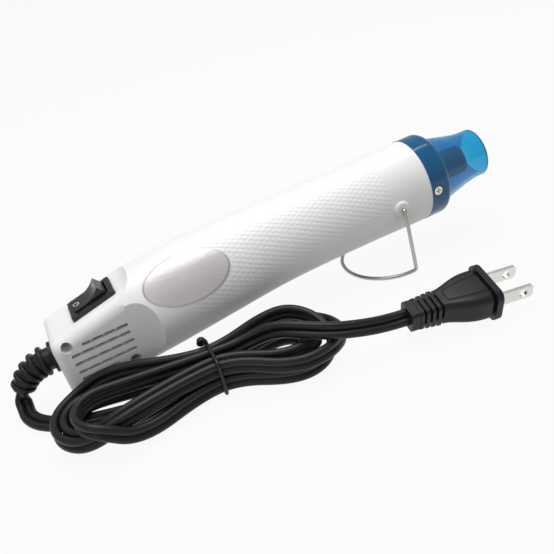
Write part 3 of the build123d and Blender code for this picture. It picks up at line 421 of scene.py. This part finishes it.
def wound_wire(tree, place, base):
    """Close turns of enamelled wire, with painted shade in the grooves between the turns."""
    wave = add_node(tree, "ShaderNodeTexWave", {"Vector": place, "Scale": 900.0, "Distortion": 1.5},
                    bands_direction="X").outputs[1]
    return mix_colours(tree, wave, opaque((0.16, 0.05, 0.02)), base), bump(tree, wave, 0.1, 0.8), {}


def laminations(tree, place, base):
    """Edges of stacked steel sheets, along the barrel."""
    wave = add_node(tree, "ShaderNodeTexWave", {"Vector": place, "Scale": 620.0},
                    bands_direction="X").outputs[1]
    return mix_colours(tree, wave, opaque((0.09, 0.09, 0.10)), base), bump(tree, wave, 0.05, 0.8), {}


def mica_flakes(tree, place, base):
    """Pressed flakes of mica."""
    cells = add_node(tree, "ShaderNodeTexVoronoi", {"Vector": place, "Scale": 700.0,
                                                    "Randomness": 1.0}).outputs
    return mix_colours(tree, 0.25, base, cells[1], "OVERLAY"), bump(tree, cells[0], 0.03, 0.5), {}


def board_tracks(tree, place, base):
    """Pale copper tracks under a phenolic board's varnish."""
    wave = add_node(tree, "ShaderNodeTexWave", {"Vector": place, "Scale": 210.0, "Distortion": 6.0,
                                                "Detail": 0.0}, bands_direction="Z").outputs[1]
    track = spread(tree, wave, 0.6, 0.66)
    return mix_colours(tree, track, base, opaque((0.45, 0.24, 0.09))), None, {}


def darker_front(tree, place, base):
    """Steel darker towards the tube's front end."""
    x = tool_place(tree, place)[0]
    darkening = spread(tree, x, *DARK_FRONT_RUN, kind="SMOOTHSTEP")
    return mix_colours(tree, darkening, base, opaque(DARK_FRONT_BLUE)), None, {}


def paint(names, material):
    """Give CAD nodes a material."""
    for name in names:
        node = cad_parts[name]
        node.data.materials.clear()
        node.data.materials.append(material)


# Sizes and colours that a user would change


def colour_setting(name, description, default):
    """Colour that the sidebar shows."""
    return FloatVectorProperty(name=name, description=description, subtype="COLOR", default=default,
                               min=0, max=1)


def length_setting(name, description, default):
    """Length that the sidebar shows, given in millimetres."""
    return FloatProperty(name=name, description=description, subtype="DISTANCE", default=default * MM, min=0)


class HeatToolColours(bpy.types.PropertyGroup):
    """Colours of the heat tool's finishes."""

    body: colour_setting("Body", "White moulded body", (0.79, 0.79, 0.785))
    label: colour_setting("Label", "Bare oval label", (0.60, 0.57, 0.565))
    nozzle: colour_setting("Nozzle", "Translucent blue bell", (0.05, 0.39, 0.69))
    # The collar colour is the bell's blue painted dark: painted shade of the ring behind it
    collar: colour_setting("Collar", "Collar behind the bell", (0.002, 0.10, 0.25))
    cord: colour_setting("Cord", "Cord, relief and plug", (0.009, 0.009, 0.011))


class HeatToolLight(bpy.types.PropertyGroup):
    """Strength of the studio's lamps."""

    key: FloatProperty(name="Key", description="Large lamp above", default=5.3, min=0)
    fill: FloatProperty(name="Fill", description="Lamp beside the camera", default=0.5, min=0)
    sky: FloatProperty(name="Sky", description="Light from all round", default=0.47, min=0)


class HeatToolSizes(bpy.types.PropertyGroup):
    """Sizes of the pieces that Blender adds."""

    label_thick: length_setting("Label", "Thickness of the oval label", LABEL_THICK)
    tie_radius: length_setting("Tie", "Radius of the wire tie", TIE_RADIUS)
    mark_radius: length_setting("Mark", "Radius of the round mark", MARK_RADIUS)


# Cord


def cord_points():
    """Control points of the whole free cord, in metres."""
    tip = Vector(RELIEF_TIP)
    points = [tip, tip + Vector(RELIEF_WAY) * RELIEF_STRAIGHT]
    points += [Vector(point) for point in LEAD_ROUTE]
    hank = hank_place()
    start = Vector((-HANK_IN, 0.0, LOW_RIGHT + 0.3))
    points.append(hank @ (start - Vector((CORD_WIDTH, 0.0, 0.0))))
    for index, turn in enumerate(HANK_LOOPS):
        points += [hank @ point for point in hank_turn_points(LEFT_ENDS[index], RIGHT_ENDS[index], *turn)]
    points.append(hank @ Vector((CORD_WIDTH, 0.0, LOW_WAIST + LAYER)))
    points += [Vector(point) for point in TAIL_ROUTE]
    points.append(plug_point(-PLUG_LENGTH - CORD_WIDTH))
    points.append(plug_point(-PLUG_LENGTH))
    return [point * MM for point in points]


def hank_place():
    """Place of the hank on the table, in millimetres."""
    return Matrix.Translation((HANK_X, HANK_Y, 0.0)) @ Matrix.Rotation(math.radians(HANK_TURN), 4, "Z")


def plug_point(x):
    """Point on the plug's middle line, in millimetres."""
    return (PLUG @ Vector((x * MM, 0.0, 0.0))) / MM


def bend_points(middle_x, middle_y, radius, side, heights):
    """Four corners round one end of the hank, from its far side to its near side or back."""
    corners = []
    for index, height in enumerate(heights):
        angle = math.radians(67.5 - 45.0 * index)
        reach = side * radius / math.cos(math.radians(22.5))
        x = middle_x + reach * math.cos(angle)
        y = middle_y + reach * math.sin(angle)
        corners.append(Vector((x, y, height)))
    return corners


def hank_turn_points(left_end, right_end, right_slot, top, end, bottom, left_slot, go_right, go_left):
    """Control points of one turn of the hank, in its own frame."""
    right_x, right_y, right = right_end
    left_x, left_y, left, left_heights = left_end
    near = right_x * WAIST_REACH_SHARE
    far = -left_x * WAIST_REACH_SHARE
    waist_right = LOW_WAIST + go_right * LAYER
    waist_left = LOW_WAIST + go_left * LAYER
    heights = [LOW_RIGHT + top * LAYER, LOW_RIGHT + (top + end) / 2 * LAYER,
               LOW_RIGHT + (end + bottom) / 2 * LAYER, LOW_RIGHT + bottom * LAYER]
    points = [
        Vector((-far, right_slot * WAIST_STEP, waist_right)),
        Vector((near, right_slot * WAIST_STEP, waist_right)),
        Vector((right_x - near, right_y + right, heights[0])),
    ]
    points += bend_points(right_x, right_y, right, 1, heights)
    points += [
        Vector((right_x - near, right_y - right, heights[3])),
        Vector((near, left_slot * WAIST_STEP, waist_left)),
        Vector((-far, left_slot * WAIST_STEP, waist_left)),
        Vector((left_x + far, left_y - left, left_heights[0])),
    ]
    points += bend_points(left_x, left_y, left, -1, left_heights[1:-1])
    points.append(Vector((left_x + far, left_y + left, left_heights[-1])))
    return points


def smooth_line(name, points, resolution, thick=0.0, closed=False):
    """NURBS curve object through a route's control points."""
    data = bpy.data.curves.new(name, "CURVE")
    data.dimensions = "3D"
    data.resolution_u = resolution
    line = data.splines.new("NURBS")
    line.points.add(len(points) - 1)
    for place, point in zip(line.points, points):
        place.co = (*point, 1.0)
    line.order_u = 3
    line.use_endpoint_u = not closed
    line.use_cyclic_u = closed
    data.bevel_depth = thick
    data.use_fill_caps = True
    curve = bpy.data.objects.new(name, data)
    bpy.context.scene.collection.objects.link(curve)
    return curve


def spline_points(points, resolution):
    """Points read from the smooth line through a route's control points."""
    curve = smooth_line("cord_line", points, resolution)
    mesh = bpy.data.meshes.new_from_object(curve)
    found = [vertex.co.copy() for vertex in mesh.vertices]
    bpy.data.objects.remove(curve)
    bpy.data.meshes.remove(mesh)
    return found


def twin_outline(steps):
    """Outline of the flat twin cord: two round cores with a groove between them."""
    lobe = CORD_THICK / 2
    start = math.asin(CORD_GROOVE / lobe)
    outline = []
    for side in (1, -1):
        for index in range(steps + 1):
            angle = -math.pi + start + (2 * math.pi - 2 * start) * index / steps
            across = lobe + lobe * math.cos(angle)
            outline.append((side * across, side * lobe * math.sin(angle)))
        outline.append((0.0, side * CORD_GROOVE * GROOVE_SHARE))
    return [(across * MM, thick * MM) for across, thick in outline]


def ease(share):
    """Smooth step from zero to one."""
    share = min(max(share, 0.0), 1.0)
    return share * share * (3.0 - 2.0 * share)


def cord_roll(run, whole):
    """Turn of the flat cord at a run along its whole line: on edge in the hank, looser at its ends."""
    run = run / MM
    left = whole / MM - run
    held = ease((run - FLAT_RUN) / STAND_UP_RUN)
    loose = ease((LOOSE_RUN - left) / LOOSE_RUN)
    sway = SWAY_ROLL * math.sin(run / SWAY_RUN) * held * (1.0 - loose)
    lean = LEAN_ROLL * ease(run / LEAN_IN_RUN) * (1.0 - ease((run - LEAN_HOLD_RUN) / LEAN_OUT_RUN))
    return math.radians(sway - lean - HELD_ROLL * held + LOOSE_ROLL * loose)


def cord_mesh(name, path, outline, roll):
    """Closed tube with an outline along a path, turned by the roll angle at each point."""
    lengths = [0.0]
    for a, b in zip(path, path[1:]):
        lengths.append(lengths[-1] + (b - a).length)
    work = bmesh.new()
    rings = []
    for index, point in enumerate(path):
        before = path[max(index - 1, 0)]
        after = path[min(index + 1, len(path) - 1)]
        heading = (after - before).normalized()
        side = heading.cross(Vector((0.0, 0.0, 1.0))).normalized()
        up = side.cross(heading)
        angle = roll(lengths[index], lengths[-1])
        wide = side * math.cos(angle) + up * math.sin(angle)
        thick = wide.cross(heading)
        rings.append([work.verts.new(point + wide * u + thick * v) for u, v in outline])
    count = len(outline)
    for first, second in zip(rings, rings[1:]):
        for index in range(count):
            other = (index + 1) % count
            work.faces.new((first[index], first[other], second[other], second[index]))
    work.faces.new(rings[0])
    work.faces.new(reversed(rings[-1]))
    bmesh.ops.recalc_face_normals(work, faces=work.faces)
    mesh = bpy.data.meshes.new(name)
    work.to_mesh(mesh)
    work.free()
    piece = bpy.data.objects.new(name, mesh)
    bpy.context.scene.collection.objects.link(piece)
    make_active(piece)
    bpy.ops.object.shade_smooth_by_angle(angle=math.radians(CORD_SMOOTH))
    return piece


def floor_material():
    """Pale floor that keeps the tool's shadow and shows white to the camera."""
    material, tree, _ = start_material("floor")
    rays = add_node(tree, "ShaderNodeLightPath").outputs
    seen = sum_up(tree, "MAXIMUM", sum_up(tree, "MAXIMUM", rays["Is Camera Ray"], rays["Is Glossy Ray"]),
                  rays["Is Transmission Ray"])
    matte = add_node(tree, "ShaderNodeBsdfDiffuse", {"Color": opaque((FLOOR_GREY,) * 3)}).outputs[0]
    glow = add_node(tree, "ShaderNodeEmission", {"Strength": 1.0}).outputs[0]
    share = sum_up(tree, "MULTIPLY", seen, FLOOR_WHITE_SHARE)
    blend = add_node(tree, "ShaderNodeMixShader", {0: share, 1: matte, 2: glow})
    add_node(tree, "ShaderNodeOutputMaterial", {"Surface": blend.outputs[0]})
    return material


class HEATTOOL_OT_stage(bpy.types.Operator):
    """Camera, floor, lamps and sky"""

    bl_idname = "heat_tool.stage"
    bl_label = "Stage"

    def execute(self, context):
        light = context.scene.heat_tool_light
        data = bpy.data.cameras.new("camera")
        data.sensor_width = SENSOR_WIDTH
        data.lens = FOCAL_PIXELS / PHOTO_PIXELS * data.sensor_width
        data.clip_start = CLIP_START
        camera = bpy.data.objects.new("camera", data)
        right = Vector(CAMERA_RIGHT).normalized()
        up = Vector(CAMERA_UP)
        up = (up - right * up.dot(right)).normalized()
        back = right.cross(up)
        turn = Matrix((right, up, back)).transposed()
        camera.matrix_world = Matrix.Translation(Vector(CAMERA_PLACE) * MM) @ turn.to_4x4()
        context.scene.collection.objects.link(camera)
        context.scene.camera = camera
        context.scene.view_settings.view_transform = "Standard"

        deselect()
        bpy.ops.mesh.primitive_plane_add(size=FLOOR_SIZE, location=(0.0, 0.0, 0.0))
        floor = context.active_object
        floor.name = "floor"
        floor.data.materials.append(floor_material())

        for name, size, place, aim in LAMPS:
            lamp_data = bpy.data.lights.new(name, "AREA")
            lamp_data.energy = getattr(light, name)
            lamp_data.size = size
            lamp = bpy.data.objects.new(name, lamp_data)
            lamp.location = place
            lamp.rotation_euler = (Vector(aim) - Vector(place)).to_track_quat("-Z", "Y").to_euler()
            context.scene.collection.objects.link(lamp)

        world = bpy.data.worlds.new("sky")
        context.scene.world = world
        world.use_nodes = True
        tree = world.node_tree
        tree.nodes.clear()
        rays = add_node(tree, "ShaderNodeLightPath").outputs
        seen = sum_up(tree, "MAXIMUM", rays["Is Camera Ray"], rays["Is Transmission Ray"])
        soft = add_node(tree, "ShaderNodeBackground", {"Color": (1.0, 1.0, 1.0, 1.0), "Strength": light.sky})
        white = add_node(tree, "ShaderNodeBackground", {"Color": (1.0, 1.0, 1.0, 1.0), "Strength": 1.0})
        blend = add_node(tree, "ShaderNodeMixShader", {0: seen, 1: soft.outputs[0], 2: white.outputs[0]})
        add_node(tree, "ShaderNodeOutputWorld", {"Surface": blend.outputs[0]})
        return {"FINISHED"}


class HEATTOOL_OT_cord(bpy.types.Operator):
    """Flat twin cord from the relief through the hank to the plug"""

    bl_idname = "heat_tool.cord"
    bl_label = "Cord"

    def execute(self, context):
        colours = context.scene.heat_tool_colours
        path = spline_points(cord_points(), LINE_STEPS)
        cord = cord_mesh("cord", path, twin_outline(LOBE_STEPS), cord_roll)
        cord.data.materials.append(finish("cord_jacket", colours.cord, 0.40, grain=0.3, depth=0.012,
                                          specular_ior_level=0.3))
        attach(cord, "housing")
        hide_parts("cord_lead", "cord_hank", "cord_tail")
        return {"FINISHED"}


class HEATTOOL_OT_tie(bpy.types.Operator):
    """Wire tie round the hank's waist, with its ends curled on top"""

    bl_idname = "heat_tool.tie"
    bl_label = "Tie"

    def execute(self, context):
        thick = context.scene.heat_tool_sizes.tie_radius / MM
        hank = hank_place()
        clear = CORD_THICK / 2 + TIE_GAP + thick
        half = CORD_WIDTH / 2 - CORD_THICK / 2
        wide = 2 * WAIST_STEP + clear
        low = LOW_WAIST - half - CORD_THICK / 2 - TIE_GAP - thick
        middle = LOW_WAIST + LAYER - half
        top = LOW_WAIST + LAYER + half + clear
        corners = [(-wide, low), (wide, low), (wide, middle),
                   (WAIST_STEP + clear, top), (0.0, top), (-wide, top)]
        points = []
        for (y, z), (next_y, next_z) in zip(corners, corners[1:] + corners[:1]):
            for share in TIE_EDGE_SHARES:
                points.append((y + (next_y - y) * share, z + (next_z - z) * share))
        route = [hank @ Vector((0.0, y, z)) * MM for y, z in points]
        ring = smooth_line("hank_tie_wire", route, 8, thick * MM, True)
        turns = []
        for index in range(TIE_KNOT_POINTS):
            angle = math.radians(TIE_KNOT_ANGLE * index)
            reach = TIE_TURN * (0.75 + 0.25 * math.cos(angle / 4))
            turns.append(hank @ Vector((reach * math.cos(angle) - TIE_TURN, WAIST_STEP + index * TIE_STEP,
                                        top + TIE_TURN / 2 + reach * math.sin(angle))) * MM)
        knot = smooth_line("knot", turns, 6, thick * MM)
        deselect()
        for piece in (ring, knot):
            piece.select_set(True)
        context.view_layer.objects.active = ring
        bpy.ops.object.convert(target="MESH")
        bpy.ops.object.join()
        ring = context.active_object
        settle(ring, WIRE_SMOOTH)
        colours = context.scene.heat_tool_colours
        jacket = finish("tie_jacket", colours.cord, 0.36, grain=0.3, specular_ior_level=0.4)
        ring.data.materials.append(jacket)
        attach(ring, "housing")
        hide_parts("hank_tie")
        return {"FINISHED"}


class HEATTOOL_OT_label(bpy.types.Operator):
    """Bare oval label on the grip's right side"""

    bl_idname = "heat_tool.label"
    bl_label = "Label"

    def execute(self, context):
        colours = context.scene.heat_tool_colours
        thick = context.scene.heat_tool_sizes.label_thick / MM
        deselect()
        bpy.ops.mesh.primitive_circle_add(vertices=64, radius=1.0, fill_type="TRIFAN")
        label = context.active_object
        label.name = "oval_label"
        bpy.ops.object.mode_set(mode="EDIT")
        bpy.ops.mesh.select_all(action="SELECT")
        bpy.ops.mesh.subdivide(number_cuts=9)
        bpy.ops.transform.resize(value=(LABEL_HALVES[0] * MM, LABEL_HALVES[1] * MM, 1.0))
        bpy.ops.object.mode_set(mode="OBJECT")
        tilt = Matrix.Rotation(math.radians(LABEL_TILT), 4, "X")
        turn = tilt @ Matrix.Rotation(math.radians(LABEL_LEAN), 4, "Z")
        lift = Matrix.Translation((0.0, 0.0, PRESS_FROM * MM))
        label.matrix_world = TOOL @ (Matrix.Translation(Vector(LABEL_PLACE) * MM) @ turn @ lift)
        context.view_layer.update()
        press_on(label, "housing_right", thick)
        settle(label, FLAT_SMOOTH)
        label.data.materials.append(finish("label_foil", colours.label, 0.34, grain=0.25, depth=0.004,
                                           tint=0.03, pattern=label_face, metallic=0.25))
        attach(label, "housing")
        return {"FINISHED"}


class HEATTOOL_OT_marks(bpy.types.Operator):
    """Round and straight marks on the rocker"""

    bl_idname = "heat_tool.marks"
    bl_label = "Marks"

    def execute(self, context):
        radius = context.scene.heat_tool_sizes.mark_radius
        white = finish("mark_ink", (0.62, 0.62, 0.60), 0.5, grain=0.2, depth=0.003)
        slope = Matrix.Rotation(math.radians(ROCKER_SLOPE), 4, "Y")
        land = Matrix.Translation(Vector(ROCKER_PLACE) * MM) @ slope
        deselect()
        bpy.ops.mesh.primitive_circle_add(vertices=40, radius=radius, fill_type="NGON")
        ring = context.active_object
        ring.name = "mark_off"
        bpy.ops.object.mode_set(mode="EDIT")
        bpy.ops.mesh.select_all(action="SELECT")
        bpy.ops.mesh.inset(thickness=MARK_STROKE * MM)
        bpy.ops.mesh.delete(type="FACE")
        bpy.ops.mesh.select_all(action="SELECT")
        bpy.ops.mesh.subdivide(number_cuts=2)
        bpy.ops.object.mode_set(mode="OBJECT")
        deselect()
        bpy.ops.mesh.primitive_grid_add(x_subdivisions=3, y_subdivisions=12, size=1.0)
        stroke = context.active_object
        stroke.name = "mark_on"
        bpy.ops.object.mode_set(mode="EDIT")
        bpy.ops.mesh.select_all(action="SELECT")
        bpy.ops.transform.resize(value=(MARK_STROKE * MM, 2 * radius, 1.0))
        bpy.ops.object.mode_set(mode="OBJECT")
        for piece, x in ((ring, -MARK_AT), (stroke, MARK_AT)):
            piece.matrix_world = land @ Matrix.Translation((x * MM, 0.0, PRESS_FROM * MM))
            context.view_layer.update()
            press_on(piece, "switch_rocker", MARK_THICK)
            settle(piece, FLAT_SMOOTH)
            piece.data.materials.append(white)
            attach(piece, "rocker")
        return {"FINISHED"}


class HEATTOOL_OT_body(bpy.types.Operator):
    """Finish of the white body, its nozzle, switch, stand, relief and plug"""

    bl_idname = "heat_tool.body"
    bl_label = "Outer finishes"

    def execute(self, context):
        colours = context.scene.heat_tool_colours
        paint(["housing_right", "housing_left"], finish(
            "body_shell", colours.body, 0.36, grain=0.35, depth=0.006, tint=0.015, pattern=grip_net))
        # The nozzle's collar is painted shade and its mouth is painted light
        paint(["nozzle"], finish("nozzle_blue", colours.nozzle, 0.10, grain=1.2, depth=0.003, tint=0.03,
                                 pattern=blue_moulding(colours.collar), ior=1.46))
        paint(["switch_body"], finish("switch_case", (0.010, 0.010, 0.012), 0.30, grain=0.25))
        paint(["switch_rocker"], finish("switch_rocker", (0.012, 0.012, 0.014), 0.24, grain=0.3, depth=0.005))
        paint(["strain_relief", "cord_core"], finish(
            "relief_rubber", colours.cord, 0.42, grain=0.25, depth=0.02, specular_ior_level=0.3))
        paint(["plug_body"], finish("plug_moulding", colours.cord, 0.38, grain=0.22, depth=0.02,
                                    specular_ior_level=0.3))
        paint(["stand"], finish("stand_wire", (0.44, 0.43, 0.40), 0.30, grain=0.2, stretch=(1.0, 6.0, 1.0),
                                metallic=1.0))
        paint(["body_screws", "collar_screws", "clamp_screws", "motor_screws"], finish(
            "screw_plating", (0.66, 0.66, 0.63), 0.22, grain=0.15, metallic=1.0))
        paint(["plug_blades"], finish("blade_plating", (0.74, 0.72, 0.68), 0.24, grain=0.2,
                                      stretch=(0.2, 1.0, 1.0), metallic=1.0))
        # Heater tube painted darker towards its front end
        paint(["heater_tube"], finish("heated_tube", (0.16, 0.15, 0.15), 0.32, grain=0.2,
                                      stretch=(0.15, 1.0, 1.0), pattern=darker_front, metallic=1.0))
        return {"FINISHED"}


class HEATTOOL_OT_inside(bpy.types.Operator):
    """Finish of the pieces inside the body"""

    bl_idname = "heat_tool.inside"
    bl_label = "Inner finishes"

    def execute(self, context):
        for names, material in (
            (["switch_plunger", "switch_terminals"], finish(
                "terminal_brass", (0.58, 0.40, 0.16), 0.28, metallic=1.0)),
            (["switch_contact"], finish("contact_copper", (0.62, 0.30, 0.16), 0.26, metallic=1.0)),
            (["motor_can", "motor_bracket"], finish(
                "zinc_sheet", (0.52, 0.53, 0.55), 0.34, grain=1.6, tint=0.12, stretch=(1.0, 0.4, 0.4),
                metallic=1.0)),
            (["motor_end_cap", "fan_duct", "cord_clamp"], finish(
                "filled_nylon", (0.03, 0.03, 0.032), 0.5, grain=0.3, depth=0.03)),
            (["fan_wheel"], finish("fan_moulding", (0.035, 0.035, 0.04), 0.42, grain=0.5, depth=0.02)),
            (["motor_magnets"], finish(
                "ferrite", (0.05, 0.05, 0.055), 0.55, grain=0.15, depth=0.04, tint=0.15)),
            (["motor_bushes"], finish(
                "sintered_bronze", (0.42, 0.27, 0.12), 0.5, grain=0.1, depth=0.03, metallic=1.0)),
            (["motor_brushes"], finish(
                "brush_copper", (0.50, 0.26, 0.14), 0.4, grain=0.2, tint=0.2, metallic=0.9)),
            (["motor_shaft", "thermal_cutout"], finish(
                "ground_steel", (0.60, 0.60, 0.61), 0.2, grain=0.15, stretch=(0.2, 1.0, 1.0), metallic=1.0)),
            (["motor_armature"], finish(
                "laminated_steel", (0.30, 0.30, 0.31), 0.4, pattern=laminations, metallic=1.0)),
            # Painted shade between the windings' turns
            (["motor_windings"], finish(
                "winding_enamel", (0.50, 0.20, 0.07), 0.25, pattern=wound_wire, metallic=0.8)),
            (["motor_commutator"], finish(
                "commutator_copper", (0.62, 0.33, 0.18), 0.3, stretch=(1.0, 0.2, 0.2), metallic=1.0)),
            (["mica_sleeve", "heater_former"], finish(
                "mica_sheet", (0.42, 0.36, 0.25), 0.3, pattern=mica_flakes)),
            (["heater_coil"], finish(
                "resistance_wire", (0.34, 0.32, 0.31), 0.35, grain=0.1, tint=0.2, metallic=1.0)),
            (["tube_ring"], finish("pressed_ceramic", (0.60, 0.57, 0.52), 0.7, grain=0.12, depth=0.04)),
            (["rectifier_board"], finish("phenolic_board", (0.30, 0.19, 0.07), 0.4, pattern=board_tracks)),
            (["rectifier_diodes"], finish("diode_case", (0.02, 0.02, 0.02), 0.45, grain=0.15, depth=0.02)),
            (["noise_capacitor"], finish("capacitor_dip", (0.36, 0.13, 0.02), 0.22, grain=0.8, depth=0.02)),
        ):
            paint(names, material)
        return {"FINISHED"}


class HEATTOOL_PT_panel(bpy.types.Panel):
    """Sidebar panel with the heat tool's settings"""

    bl_idname = "HEATTOOL_PT_panel"
    bl_label = "Heat tool"
    bl_space_type = "VIEW_3D"
    bl_region_type = "UI"
    bl_category = "Heat tool"

    def draw(self, context):
        scene = context.scene
        for group in (scene.heat_tool_colours, scene.heat_tool_light, scene.heat_tool_sizes):
            for key in group.__annotations__:
                self.layout.prop(group, key)
        for kind in OPERATORS:
            self.layout.operator(kind.bl_idname)


OPERATORS = (HEATTOOL_OT_stage, HEATTOOL_OT_cord, HEATTOOL_OT_tie, HEATTOOL_OT_label, HEATTOOL_OT_marks,
             HEATTOOL_OT_body, HEATTOOL_OT_inside)
CLASSES = (HeatToolColours, HeatToolLight, HeatToolSizes, *OPERATORS, HEATTOOL_PT_panel)


def register():
    """Register the classes and their settings."""
    for kind in CLASSES:
        bpy.utils.register_class(kind)
    bpy.types.Scene.heat_tool_colours = PointerProperty(type=HeatToolColours)
    bpy.types.Scene.heat_tool_light = PointerProperty(type=HeatToolLight)
    bpy.types.Scene.heat_tool_sizes = PointerProperty(type=HeatToolSizes)


def unregister():
    """Remove the settings and the classes."""
    del bpy.types.Scene.heat_tool_sizes
    del bpy.types.Scene.heat_tool_light
    del bpy.types.Scene.heat_tool_colours
    for kind in reversed(CLASSES):
        bpy.utils.unregister_class(kind)


def main():
    """Build every piece in order."""
    register()
    bpy.ops.heat_tool.stage()
    bpy.ops.heat_tool.cord()
    bpy.ops.heat_tool.tie()
    bpy.ops.heat_tool.label()
    bpy.ops.heat_tool.marks()
    bpy.ops.heat_tool.body()
    bpy.ops.heat_tool.inside()


if __name__ == "__main__":
    main()
